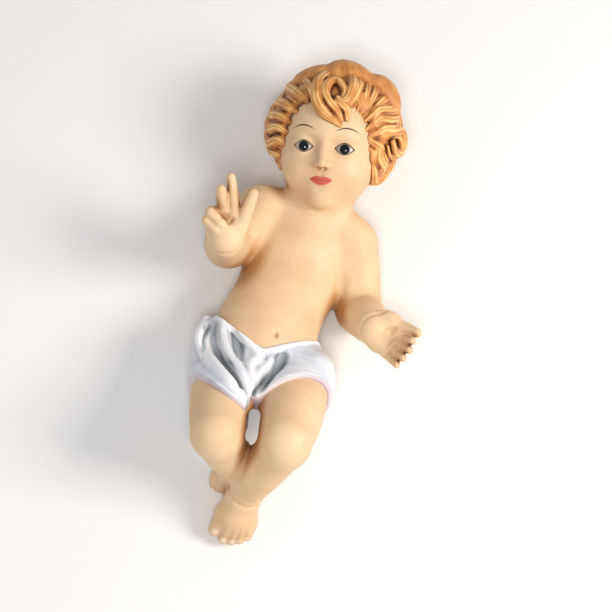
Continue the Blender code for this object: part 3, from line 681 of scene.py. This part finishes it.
for side in ("right", "left"):
    around = np.arange(SPOKES) / SPOKES * 2 * np.pi
    around, out = np.meshgrid(around, np.arange(1, RINGS) / RINGS * np.pi)
    flat = np.sin(out)
    globe = np.stack([flat * np.cos(around), np.cos(out), -flat * np.sin(around)], -1).reshape(-1, 3)
    globe = np.vstack([globe, (0, 1, 0), (0, -1, 0)]) * EYE_RADIUS
    first = np.arange((RINGS - 2) * SPOKES).reshape(-1, SPOKES)
    after = np.roll(first, -1, 1)
    sides = np.stack([first, first + SPOKES, after + SPOKES, after], -1).reshape(-1, 4).tolist()
    front, back = len(globe) - 2, len(globe) - 1
    rim = (RINGS - 2) * SPOKES
    caps = [(front, i, (i + 1) % SPOKES) for i in range(SPOKES)]
    caps += [(back, rim + (i + 1) % SPOKES, rim + i) for i in range(SPOKES)]
    mesh = bpy.data.meshes.new("eye_" + side)
    mesh.from_pydata((on_head(eye_place(side) + globe) * MM).tolist(), [], sides + caps)
    mesh.shade_smooth()
    behind = 20 * (globe[:, 1] < 0)
    keep(mesh, "from_pupil", np.hypot(globe[:, 0], globe[:, 2]) + behind)
    mesh.materials.append(glass)
    eye = bpy.data.objects.new("eye_" + side, mesh)
    bpy.context.scene.collection.objects.link(eye)
    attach(eye, "root")
    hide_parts("glass_eye_" + side)


# The hair is carved in the cast: a dome over the skull, open over the face, smooth swells at the crown and
# grooved locks that lie on it. A lock is its places and its radii there. A place is its azimuth from the
# face towards the figure's right and its angle down from the crown in degrees, and its height on the dome.

DOME, DOME_RADII = at(-0.5, -3, 8), at(39, 39.5, 36.5)
OPENING, OPENING_WIDTH, OPENING_TOP = -3.0, 27.5, 27.0
NAPE = -21.0
FORELOCK = (
    (((25, 24, 0), (20, 40, 1), (15, 53, 1), (11, 65, 1), (3, 75, 0.5), (-12, 85, 0)),
     (4.2, 4.6, 4.4, 4.2, 3.6, 1.8)),
    (((-12, 59, 1), (-15, 50, 1.5), (-10, 40, 2), (-2, 36, 2), (6, 43, 2), (6, 54, 1.5), (0, 64, 1),
      (-8, 72, 0.5), (-13, 80, 0)),
     (1.6, 2.2, 2.6, 2.8, 3.0, 3.2, 3.2, 2.8, 1.6)),
    (((-62, 12, -1), (-28, 37, 1), (-21, 52, 1), (-15, 61, 1), (-6, 64, 1)), (4.2, 3.8, 3.4, 3.0, 2.2)),
    (((-8, 60, 1), (-13, 66, 1), (-17, 71, 0.5), (-18, 79, 0)), (2.6, 3.2, 2.8, 1.6)),
    (((-70, 18, 0), (-36, 40, 0.5), (-26, 53, 0), (-19, 64, -0.5)), (3.6, 3.6, 3.2, 2.0)),
)
SIDE_LOCKS = (
    (((72, 31, 0), (75, 40, 0), (72, 48, 0), (39, 57, 0), (23, 62, -3.0)), (4.0, 4.5, 4.5, 3.6, 2.2)),
    (((55, 35, -0.5), (30, 46, 0), (20, 55, 0), (18, 62, -3.0)), (3.0, 3.2, 3.0, 1.8)),
    (((76, 48, -1.5), (78, 58, -1), (65, 66, 0), (46, 70, 0), (34, 74, -3.0)), (3.5, 4.2, 4.2, 3.4, 2.0)),
    (((78, 62, -1.5), (79, 72, 0), (70, 79, 0), (50, 81, 0), (39, 86, -3.0)), (3.5, 4.2, 4.2, 3.4, 2.0)),
    (((80, 77, -0.5), (80, 85, 0.8), (70, 91, 0.5), (51, 91, 0), (41, 97, -3.0)), (3.5, 4.2, 4.2, 3.4, 2.0)),
    (((81, 90, 0), (81, 98, 0.8), (67, 105, 0.5), (51, 103, 0), (44, 111, -3.0)), (3.5, 4.2, 4.2, 3.4, 2.0)),
    (((82, 103, 0.4), (81, 111, 0.2), (64, 115, 0), (54, 123, -3.0)), (3.6, 4.2, 3.8, 2.0)),
    (((82, 114, -1.5), (82, 123, -2), (70, 129, -0.5), (60, 137, -1)), (3.6, 4.2, 3.8, 2.0)),
    (((-60, 16, -1), (-42, 35, 0), (-31, 49, 0), (-31, 62, -3.0)), (3.0, 3.0, 2.8, 1.8)),
    (((-82, 21, -1), (-57, 36, 0), (-41, 51, 0), (-35, 65, -3.0)), (3.0, 3.2, 3.0, 1.8)),
    (((-86, 30, 0), (-72, 39, 0), (-50, 52, 0), (-38, 67, -3.0)), (3.0, 3.6, 3.4, 2.0)),
    (((-88, 42, 1), (-80, 50, 0), (-60, 57, 0), (-41, 69, -3.0)), (3.0, 3.6, 3.6, 2.0)),
    (((-92, 52, 2), (-90, 60, 1), (-70, 64, 0), (-52, 66, -0.5), (-43, 74, -3.5)), (3.5, 4.0, 4.0, 3.6, 2.6)),
    (((-94, 62, 1), (-90, 71, 0), (-67, 74, 0), (-52, 75, -0.5), (-45, 83, -3.5)), (3.6, 4.0, 4.0, 3.6, 2.6)),
    (((-95, 73, 0), (-76, 81, 0), (-56, 83, -0.5), (-47, 91, -3.5)), (3.6, 4.0, 3.6, 2.6)),
    (((-47, 88, -4), (-68, 85, 0), (-92, 82, 1.5), (-99, 91, 4), (-96, 101, 3.2), (-79, 102, 2.2),
      (-70, 94, 2)),
     (3.0, 3.6, 3.8, 3.8, 3.4, 3.0, 2.0)),
    (((-46, 96, -4), (-56, 102, -1), (-58, 110, 0), (-73, 118, 0), (-90, 115, 0)), (3.0, 3.8, 3.8, 3.2, 2.2)),
    (((-80, 104, 0), (-95, 110, 0), (-98, 118, 1), (-95, 126, 0), (-72, 124, 0)), (3.0, 3.8, 3.8, 3.2, 2.2)),
    (((-54, 116, -3), (-62, 126, 0), (-79, 135, 0.5), (-97, 132, 1.5), (-99, 124, 2), (-94, 117, 1)),
     (2.6, 3.6, 3.8, 3.6, 3.0, 2.0)),
    (((-66, 108, -2.5), (-74, 117, -1.5), (-84, 126, -1.5)), (4.0, 5.0, 4.0)),
)
SWELLS = (
    (((80, 44, -7), (78, 32, -4.5), (62, 18, -4), (30, 6, -4)), (9, 11, 11, 10)),
    (((24, 34, -10), (10, 18, -7), (-20, 4, -2.5), (-66, 14, -2.5), (-80, 26, -3)), (8, 10, 12, 12, 10)),
    (((-86, 26, -3), (-89, 38, 0.5), (-91, 50, -0.5), (-92, 64, -4.5), (-92, 78, -7)), (8, 10, 10, 9, 8)),
)


def on_dome(azimuth, down, lift):
    azimuth, down = np.radians(azimuth), np.radians(down)
    way = at(np.sin(down) * np.sin(azimuth), np.sin(down) * np.cos(azimuth), np.cos(down))
    return DOME + way * (DOME_RADII + lift)


def wavy_lock(start, end, thick, waves, swing, phase):
    """A lock from start to end that waves sideways, swells in the middle and thins out at its end."""
    path, radii = [], []
    for share in np.linspace(0, 1, 25):
        wave = 2 * np.pi * (waves * share + phase)
        azimuth = start[0] + (end[0] - start[0]) * share
        sway = np.sin(wave) - np.sin(2 * np.pi * phase) * (1 - share)
        down = start[1] + (end[1] - start[1]) * share + swing * sway
        lift = -thick * 0.45 + 1.4 * np.sin(np.pi * share) + 1.6 * np.cos(wave) * share
        path.append(on_dome(azimuth, down, lift))
        radii.append(thick * (0.75 + 0.35 * np.sin(np.pi * share) - 0.55 * share**4))
    return path, radii


def smooth_path(path, radii, steps=5):
    """The path and radii with rounded bends, through all its points."""
    path = np.column_stack([path, radii])
    ends = np.vstack([2 * path[0] - path[1], path, 2 * path[-1] - path[-2]])
    found = []
    for before, start, end, after in zip(ends, ends[1:], ends[2:], ends[3:]):
        for share in np.arange(steps) / steps:
            found.append(
                start
                + share * (end - before) / 2
                + share**2 * (before - 2.5 * start + 2 * end - after / 2)
                + share**3 * (1.5 * (start - end) + (after - before) / 2)
            )
    found = np.array(found + [path[-1]])
    return list(found[:, :3]), list(found[:, 3])


def lock_paths():
    """All the carved locks: a path and radii each, in the head's frame."""
    found = []
    for points, radii in FORELOCK + SIDE_LOCKS:
        found.append(smooth_path([on_dome(*place) for place in points], radii))
    for points, radii in SIDE_LOCKS:
        beside = [on_dome(azimuth + 6, down + 5, lift - 0.6) for azimuth, down, lift in points]
        found.append(smooth_path(beside, 0.55 * at(*radii)))
    for azimuth in range(104, 261, 13):
        odd = azimuth % 2
        start, end = (azimuth - 8, 26 + 6 * odd), (azimuth + 4, 122 - 6 * odd)
        found.append(wavy_lock(start, end, 5.6, 2.5, 6.0, 0.3 * odd))
    for azimuth in range(110, 261, 13):
        found.append(wavy_lock((azimuth, 40), (azimuth + 6, 116), 4.2, 3, 5.0, 0.5))
    return [(np.array(path), np.array(radii)) for path, radii in found]


LOCKS = lock_paths()
# How wide a ridge on a lock is, how deep its groove is against its radius, and how far ridges wind.
RIDGE, GROOVE, WINDING = 3.3, 0.15, 2.2


def carved_lock(points, path, radii):
    """How far each place is from a lock, and how high on one of the lock's ridges its nearest spot is."""
    run = np.gradient(path, axis=0)
    across = np.cross(run, path - DOME)
    across /= length(across)[:, None]
    out = np.cross(across, run)
    out /= length(out)[:, None]
    ridges = max(round(2 * np.pi * radii.max() / RIDGE), 4)
    nearest, crest = np.full(len(points), 1e3), np.zeros(len(points))
    for i in range(len(path) - 1):
        step, off = path[i + 1] - path[i], points - path[i]
        share = np.clip(off @ step / (step @ step), 0, 1)
        off -= share[:, None] * step
        sideways = (1 - share) * (off @ across[i]) + share * (off @ across[i + 1])
        outward = (1 - share) * (off @ out[i]) + share * (off @ out[i + 1])
        winding = WINDING * (i + share) / len(path)
        angle = np.arctan2(sideways, outward)
        uneven = 0.5 + 0.5 * np.cos(angle * 2 + 5 * winding + path[0, 0])
        ridge = np.sqrt(np.abs(np.cos(ridges / 2 * angle + winding + 0.5 * uneven))) * (0.55 + 0.45 * uneven)
        thick = radii[i] + (radii[i + 1] - radii[i]) * share
        found = length(off) - thick * (1 - GROOVE * (1 - ridge))
        closer = found < nearest
        nearest[closer], crest[closer] = found[closer], ridge[closer]
    return nearest, crest


def hair_mass(local):
    """What carries the locks: a dome open over the face, with three smooth combed swells."""
    dome = egg(local, DOME, DOME_RADII)
    across = np.abs(local[:, 0] - OPENING) / OPENING_WIDTH
    over = np.maximum(local[:, 2], 0) / OPENING_TOP
    power = 2.6
    gate = ((across**power + over**power + 1e-9) ** (1 / power) - 1) * OPENING_WIDTH
    dome = cut(dome, np.maximum(gate, -local[:, 1]), 4)
    dome = cut(dome, local[:, 2] - NAPE, 3)
    for points, radii in SWELLS:
        dome = join(dome, rope(local, *smooth_path([on_dome(*place) for place in points], radii, 3)), 1.4)
    return dome


def carved_hair(points):
    """How far each place is from the hair, and how high on a ridge the nearest spot is."""
    local = (points - HEAD) @ HEAD_FRAME.T
    found = hair_mass(local)
    from_dome = local - DOME
    comb = np.arctan2(from_dome[:, 0], from_dome[:, 1]) * 26 + from_dome[:, 2] * 0.08
    crest = 0.34 + 0.07 * np.sin(comb) + 0.06 * np.sin(comb * 0.37 + 1)
    for path, radii in LOCKS:
        here = np.flatnonzero(near(local, path, radii.max() + 2))
        lock, ridge = carved_lock(local[here], path, radii)
        crest[here] = np.where(lock < found[here], ridge, crest[here])
        found[here] = join(found[here], lock, 0.7)
    return found, crest


def hair(points):
    return carved_hair(points)[0]


def head_and_hair(points):
    return np.minimum(hair(points), flesh(points))


def strand(start, end, thick):
    """A fine strand over the hairline, that leaves the locks and comes down to the skin."""
    path, radii = [], []
    for share in np.linspace(0, 1, 9):
        azimuth = start[0] + (end[0] - start[0]) * share + 2.0 * np.sin(np.pi * share)
        path.append(on_dome(azimuth, start[1] + (end[1] - start[1]) * share, 1.6 - 6.5 * share**1.7))
        radii.append(thick * (1 - 0.75 * share**2))
    return path, radii


def fringe():
    """Strands combed down over the edge of the forehead, on both sides of the forelock."""
    found = []
    for step in np.linspace(0, 1, 11):
        found.append(strand((-30 - 14 * step, 45 + 9 * step), (-24 - 15 * step, 65 + 8 * step), 1.0))
    for step in np.linspace(0, 1, 7):
        found.append(strand((36 + 10 * step, 46 + 8 * step), (16 + 14 * step, 63 + 7 * step), 0.9))
    return found


def strand_tree():
    """Grooved strands along the paths that come in: a ribbed ring swept along each, with closed ends."""
    tree = bpy.data.node_groups.new("carved_strands", "GeometryNodeTree")
    tree.interface.new_socket("Geometry", in_out="INPUT", socket_type="NodeSocketGeometry")
    kinds = {"Strands": "Int", "Points each": "Int", "Groove": "Float", "Paint": "Material"}
    for name, kind in kinds.items():
        tree.interface.new_socket(name, in_out="INPUT", socket_type="NodeSocket" + kind)
    tree.interface.new_socket("Geometry", in_out="OUTPUT", socket_type="NodeSocketGeometry")
    given = add(tree, "NodeGroupInput").outputs
    count = add(tree, "ShaderNodeMath", {0: given["Strands"], 1: given["Points each"]}, operation="MULTIPLY")
    circle = {"Resolution": count, "Radius": 1.0}
    ring = add(tree, "GeometryNodeCurvePrimitiveCircle", circle, mode="RADIUS")
    index = add(tree, "GeometryNodeInputIndex")
    step = add(tree, "ShaderNodeMath", {0: index, 1: given["Points each"]}, operation="DIVIDE")
    turn = add(tree, "ShaderNodeMath", {0: step, 1: np.pi}, operation="MULTIPLY")
    wave = add(tree, "ShaderNodeMath", {0: turn}, operation="SINE")
    crest = add(tree, "ShaderNodeMath", {0: wave}, operation="ABSOLUTE")
    mark = {"Geometry": ring, "Name": "crest", "Value": crest}
    marked = add(tree, "GeometryNodeStoreNamedAttribute", mark, data_type="FLOAT", domain="POINT")
    low = add(tree, "ShaderNodeMath", {0: 1.0, 1: crest}, operation="SUBTRACT")
    deep = add(tree, "ShaderNodeMath", {0: low, 1: given["Groove"]}, operation="MULTIPLY")
    size = add(tree, "ShaderNodeMath", {0: 1.0, 1: deep}, operation="SUBTRACT")
    place = add(tree, "GeometryNodeInputPosition")
    moved = add(tree, "ShaderNodeVectorMath", {0: place, "Scale": size}, operation="SCALE")
    ribbed = add(tree, "GeometryNodeSetPosition", {"Geometry": marked, "Position": moved})
    thick = add(tree, "GeometryNodeInputRadius")
    sweep = {"Curve": given["Geometry"], "Profile Curve": ribbed, "Scale": thick, "Fill Caps": True}
    swept = add(tree, "GeometryNodeCurveToMesh", sweep)
    real = add(tree, "GeometryNodeRealizeInstances", {"Geometry": swept})
    painted = add(tree, "GeometryNodeSetMaterial", {"Geometry": real, "Material": given["Paint"]})
    add(tree, "NodeGroupOutput", {"Geometry": painted})
    return tree


def swept_hair(name, paths, strands, points_each, groove, twist):
    """The mesh of grooved strands along the paths, twisted so that their ridges wind."""
    line = bpy.data.curves.new(name + "_paths", "CURVE")
    line.dimensions = "3D"
    for path, radii in paths:
        spline = line.splines.new("POLY")
        spline.points.add(len(path) - 1)
        for index, (point, place, radius) in enumerate(zip(spline.points, path, radii)):
            point.co = (*(on_head(place) * MM), 1)
            point.radius = radius * MM
            point.tilt = twist * index / len(path)
    carrier = bpy.data.objects.new(name + "_paths", line)
    bpy.context.scene.collection.objects.link(carrier)
    carving = carrier.modifiers.new("strands", "NODES")
    carving.node_group = strand_tree()
    sockets = [item for item in carving.node_group.interface.items_tree if item.in_out == "INPUT"]
    given = {item.name: item.identifier for item in sockets}
    carving[given["Strands"]] = strands
    carving[given["Points each"]] = points_each
    carving[given["Groove"]] = groove
    carving[given["Paint"]] = hair_paint
    mesh = bpy.data.meshes.new_from_object(carrier.evaluated_get(bpy.context.evaluated_depsgraph_get()))
    bpy.data.objects.remove(carrier)
    mesh.name = name
    mesh.shade_smooth()
    made = bpy.data.objects.new(name, mesh)
    bpy.context.scene.collection.objects.link(made)
    return made


# Golden oil paint: the eye sees pale ridges, part dry-brushed paint and part painted highlight, orange
# slopes and brown painted shade down in the grooves, uneven in patches about 8 mm across.
hair_paint, tree = finish_named("brushed_golden_brown_hair_paint")
place = add(tree, "ShaderNodeTexCoord").outputs["Object"]
patches = add(tree, "ShaderNodeTexNoise", {"Vector": place, "Scale": 130.0, "Detail": 3.0})
uneven = add(tree, "ShaderNodeMath", {0: patches, 1: 0.6, 2: -0.3}, operation="MULTIPLY_ADD")
# Painted highlight: the paint is paler the higher a place stands on a ridge.
crest = add(tree, "ShaderNodeAttribute", attribute_name="crest").outputs["Fac"]
high = add(tree, "ShaderNodeMath", {0: crest, 1: 0.62, 2: 0.47}, operation="MULTIPLY_ADD")
# Painted shade: the paint is browner the more hemmed in a place is.
hollow_shade = add(tree, "ShaderNodeAttribute", attribute_name="hollow_shade").outputs["Fac"]
clear = add(tree, "ShaderNodeMath", {0: 1.0, 1: hollow_shade}, operation="SUBTRACT")
clear = add(tree, "ShaderNodeMath", {0: clear, 1: 1.5}, operation="POWER")
light = add(tree, "ShaderNodeMath", {0: high, 1: clear, 2: uneven}, operation="MULTIPLY_ADD")
# The ramp runs from brown painted shade to a pale painted highlight over the golden paint.
tone = add(tree, "ShaderNodeValToRGB", {"Fac": light})
tone.color_ramp.elements[0].color = linear("#47280f")
tone.color_ramp.elements[1].color = linear("#f3c47e")
for stop, shade in ((0.22, "#74451c"), (0.42, "#a9682f"), (0.62, "#c98447"), (0.84, "#e0a25a")):
    tone.color_ramp.elements.new(stop).color = linear(shade)
matt_paint(tree, tone, place, 0.48)

locks = cast("carved_hair", hair, at(-48, 108, -2), at(68, 208, 104), 0.42, MOST_FACES)
# Each vertex keeps its height on a ridge for the painted highlight, and how hemmed in it is for the painted
# shade.
keep(locks.data, "crest", carved_hair(read(locks.data, "vertices", "co") / MM)[1])
keep(locks.data, "hollow_shade", hemmed_in(locks.data, head_and_hair, (1.0, 2.5, 5)))
locks.data.materials.append(hair_paint)
strands = swept_hair("hair_fringe", fringe(), 3, 4, 0.15, 1.0)
# The fringe's painted shade is weaker, at four tenths.
keep(strands.data, "hollow_shade", 0.4 * hemmed_in(strands.data, head_and_hair, (1.5, 3)))
for piece in (locks, strands):
    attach(piece, "root")
    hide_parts("figure")


# The loincloth is cast with the figure: a shell round the hips from the waist to a slanting hem on each
# thigh, gathered into folds between the thighs. A fold or valley is its places, drawn flat as seen from
# above and laid on the cloth, and its radii.

CLOTH = 2.6
HEM = {"right": (51.5, 0.8, -0.03), "left": (25.6, -0.62, 0.0)}
WAIST_TOP = 24.0
MIDDLE = -2
FOLDS = (
    (((-40, 20), (-40.5, 8), (-35, -2), (-27, -13), (-16, -24), (-7, -32)), (2.8, 3.8, 4.2, 4.2, 4.0, 2.6)),
    (((-29, 22), (-26.5, 8), (-21, -4), (-11, -15), (-4, -27)), (2.4, 3.2, 3.6, 3.6, 2.4)),
    (((-33, 24), (-16, 12.5), (-7, 6.5), (-4, 0.5), (-7, -7), (-4, -24)), (1.8, 2.4, 3.0, 3.2, 2.8, 2.2)),
    (((5, 0), (0, -9), (-3, -19), (-4, -29)), (2.0, 2.8, 2.6, 2.0)),
)
VALLEYS = (
    (((-35, 17), (-33, 6), (-27, -5), (-18, -16), (-10, -26)), (2.4, 3.0, 2.6, 2.0, 1.2)),
    (((-22, 13), (-17, 4), (-14, -3)), (1.4, 2.6, 1.4)),
    (((10, 5), (8.6, -1), (4.3, -12.5), (-1, -26)), (2.6, 3.0, 2.4, 1.6)),
    (((-38, 15), (-39, 5), (-34, -8)), (0.5, 1.0, 0.5)),
)


def waist_line(across):
    """How far up the trunk the cloth's edge stands over each place across, lowest below the navel."""
    return np.minimum(5 + np.sqrt((0.6 * (across + 3)) ** 2 + 4), WAIST_TOP)


def past_hem(points, side):
    """How far each place is past the cloth's edge on a thigh, which slants and bends across it."""
    reach, slant, bend = HEM[side]
    from_hip = points - HIP[side]
    across = from_hip[:, 0]
    past = from_hip @ unit(KNEE[side] - HIP[side]) - reach - slant * across - bend * across**2
    return past / np.hypot(1, slant + 2 * bend * across)


def round_thigh(points, side):
    """Whether each place is on that side of the middle."""
    return (points[:, 0] < MIDDLE) == (side == "right")


def hips(points):
    body = egg(points, PELVIS, (34, 24, 25))
    body = join(body, egg(points, BELLY, (31, 33, 26)), 14)
    for side in ("right", "left"):
        body = join(body, limb(points, HIP[side], KNEE[side], *THIGH), 7)
    body = join(body, egg(points, (-4, -17, 45), (8, 12, 12)), 6)
    body = join(body, egg(points, (-33, 6, 34), (9, 17, 16)), 6)
    return join(body, egg(points, (32, 1, 35), (9, 13, 14)), 6)


def laid(path, lift):
    """The flat path dropped on to the cloth from above."""
    places = np.array([(across, along, 130.0) for across, along in path])
    for _ in range(60):
        places[:, 2] -= 0.8 * (hips(places) - CLOTH)
    places[:, 2] += lift
    return places


def loincloth(points):
    shell = hips(points) - CLOTH
    for path, radii in FOLDS:
        path, radii = smooth_path(laid(path, -1.0), radii)
        here = near(points, path, 8)
        shell[here] = join(shell[here], rope(points[here], path, radii), 2.5)
    for path, radii in VALLEYS:
        path, radii = smooth_path(laid(path, 0.6), radii)
        here = near(points, path, 8)
        shell[here] = cut(shell[here], rope(points[here], path, radii), 3.0)
    shell = cut(shell, thigh_gap(points), 2)
    shell = cut(shell, waist_line(points[:, 0]) - points[:, 1], 2)
    for side in ("right", "left"):
        own = round_thigh(points, side)
        shell[own] = cut(shell[own], -past_hem(points[own], side), 2)
    return shell


def dressed(points):
    return np.minimum(loincloth(points), flesh(points))


def hem_distance(points):
    """How far each place is from the cloth's edges at the waist and on the thighs."""
    found = np.abs(points[:, 1] - waist_line(points[:, 0]))
    for side in ("right", "left"):
        own = round_thigh(points, side)
        found[own] = np.minimum(found[own], np.abs(past_hem(points[own], side)))
    return found


def standing_out(mesh, form, reach):
    """How far each vertex stands out on a ridge, 0 on flat cloth and about 1 on a sharp fold."""
    inward = read(mesh, "vertices", "co") / MM - read(mesh, "vertex_normals", "vector") * reach
    return np.clip(1 + form(inward) / reach, 0, 1)


cloth = cast("loincloth", above_floor(loincloth), at(-56, -62, -6), at(66, 42, 92), 0.5, MOST_FACES)
# The painted shade in the valleys and the painted highlight on the ridges are read from these.
keep(cloth.data, "hollow_shade", hemmed_in(cloth.data, dressed, (1.5, 4, 8)))
keep(cloth.data, "ridge", standing_out(cloth.data, loincloth, 4))
keep(cloth.data, "hem", hem_distance(read(cloth.data, "vertices", "co") / MM))

# White oil paint, brushed across the cloth in bands some 3 mm wide: the eye sees a soft gloss, a painted
# highlight on the ridges, painted grey-green shade in the valleys and a thin lilac edge.
cloth_paint, tree = finish_named("white_oil_paint_on_plaster")
place = add(tree, "ShaderNodeTexCoord").outputs["Object"]
brushing = {"Vector": place, "Rotation": (0, 0, -0.35), "Scale": (45.0, 330.0, 150.0)}
swept = add(tree, "ShaderNodeMapping", brushing)
bands = add(tree, "ShaderNodeTexNoise", {"Vector": swept, "Scale": 1.0, "Detail": 3.0})
band = add(tree, "ShaderNodeMapRange", {"Value": bands, "From Min": 0.35, "From Max": 0.65})
# Painted grey-green shade where the cloth is hemmed in, and a painted white highlight where it stands out on
# a ridge.
hollow_shade = add(tree, "ShaderNodeAttribute", attribute_name="hollow_shade").outputs["Fac"]
painted_valley_shade = add(tree, "ShaderNodeMapRange", {"Value": hollow_shade, "From Min": 0.04, "From Max": 0.42})
ridge = add(tree, "ShaderNodeAttribute", attribute_name="ridge").outputs["Fac"]
painted_ridge_highlight = add(tree, "ShaderNodeMapRange", {"Value": ridge, "From Min": 0.14, "From Max": 0.55, "To Max": 0.8})
hem = add(tree, "ShaderNodeAttribute", attribute_name="hem").outputs["Fac"]
edge = add(tree, "ShaderNodeMapRange", {"Value": hem, "From Min": 0.8, "From Max": 0.25, "To Max": 0.5})
coats = ((band, "#d8dce6"), (painted_valley_shade, "#646c70"), (painted_ridge_highlight, "#ffffff"), (edge, "#d8b4bd"))
matt_paint(tree, coated(tree, linear("#e9edf5"), *coats), place, 0.36)
cloth.data.materials.append(cloth_paint)
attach(cloth, "root")
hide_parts("figure")


# The photographer's floor, lights and camera: pale studio paper laid flat, a large soft lamp at the
# figure's left, a weaker one over its feet, and a camera that looks down from the foot end, turned a little.

FLOOR = 3.0

# Matt pale paper with a faint grain 2.5 mm across, on which the eye sees only soft shadows.
pale, tree = finish_named("pale_studio_paper")
place = add(tree, "ShaderNodeTexCoord").outputs["Object"]
grain = add(tree, "ShaderNodeTexNoise", {"Vector": place, "Scale": 400.0})
paper = {"Base Color": coated(tree, linear("#f4f3f1"), (grain, "#f0efed")), "Roughness": 0.9}
add(tree, "ShaderNodeOutputMaterial", {"Surface": add(tree, "ShaderNodeBsdfPrincipled", paper)})

floor_mesh = bpy.data.meshes.new("floor")
corners = [(-FLOOR, -FLOOR, 0), (FLOOR, -FLOOR, 0), (FLOOR, FLOOR, 0), (-FLOOR, FLOOR, 0)]
floor_mesh.from_pydata(corners, [], [(0, 1, 2, 3)])
floor_mesh.materials.append(pale)
floor = bpy.data.objects.new("floor", floor_mesh)
bpy.context.scene.collection.objects.link(floor)


def lamp(name, place, aim, size, watts, colour):
    light = bpy.data.lights.new(name, "AREA")
    light.size = size
    light.energy = watts
    light.color = linear(colour)[:3]
    made = bpy.data.objects.new(name, light)
    made.location = place
    made.rotation_euler = (Vector(aim) - Vector(place)).to_track_quat("-Z", "Y").to_euler()
    bpy.context.scene.collection.objects.link(made)


lamp("key_lamp", (0.85, 0.05, 0.8), (0, 0.04, 0.03), 0.45, 9.3, "#fffaf3")
lamp("front_lamp", (0.0, -0.45, 1.15), (0, 0.1, 0.05), 0.25, 4.9, "#ffffff")

sky = bpy.data.worlds.new("soft_room")
sky.use_nodes = True
sky.node_tree.nodes["Background"].inputs["Color"].default_value = linear("#fbfbff")
sky.node_tree.nodes["Background"].inputs["Strength"].default_value = 0.42
bpy.context.scene.world = sky
bpy.context.scene.view_settings.view_transform = "Standard"

ELEVATION, ROLL, FOCAL = np.radians(72), np.radians(13), 126.18
ahead = at(0, np.cos(ELEVATION), -np.sin(ELEVATION))
over = at(0, np.sin(ELEVATION), np.cos(ELEVATION))
along = at(1, 0, 0)
right = along * np.cos(ROLL) + over * np.sin(ROLL)
top = over * np.cos(ROLL) - along * np.sin(ROLL)
camera = bpy.data.objects.new("camera", bpy.data.cameras.new("camera"))
camera.matrix_world = Matrix(np.column_stack([right, top, -ahead])).to_4x4()
camera.location = (0.01704, -0.36013, 1.28137)
camera.data.lens = FOCAL
camera.data.sensor_width = 36.0
camera.data.clip_start = 0.1
bpy.context.scene.collection.objects.link(camera)
bpy.context.scene.camera = camera
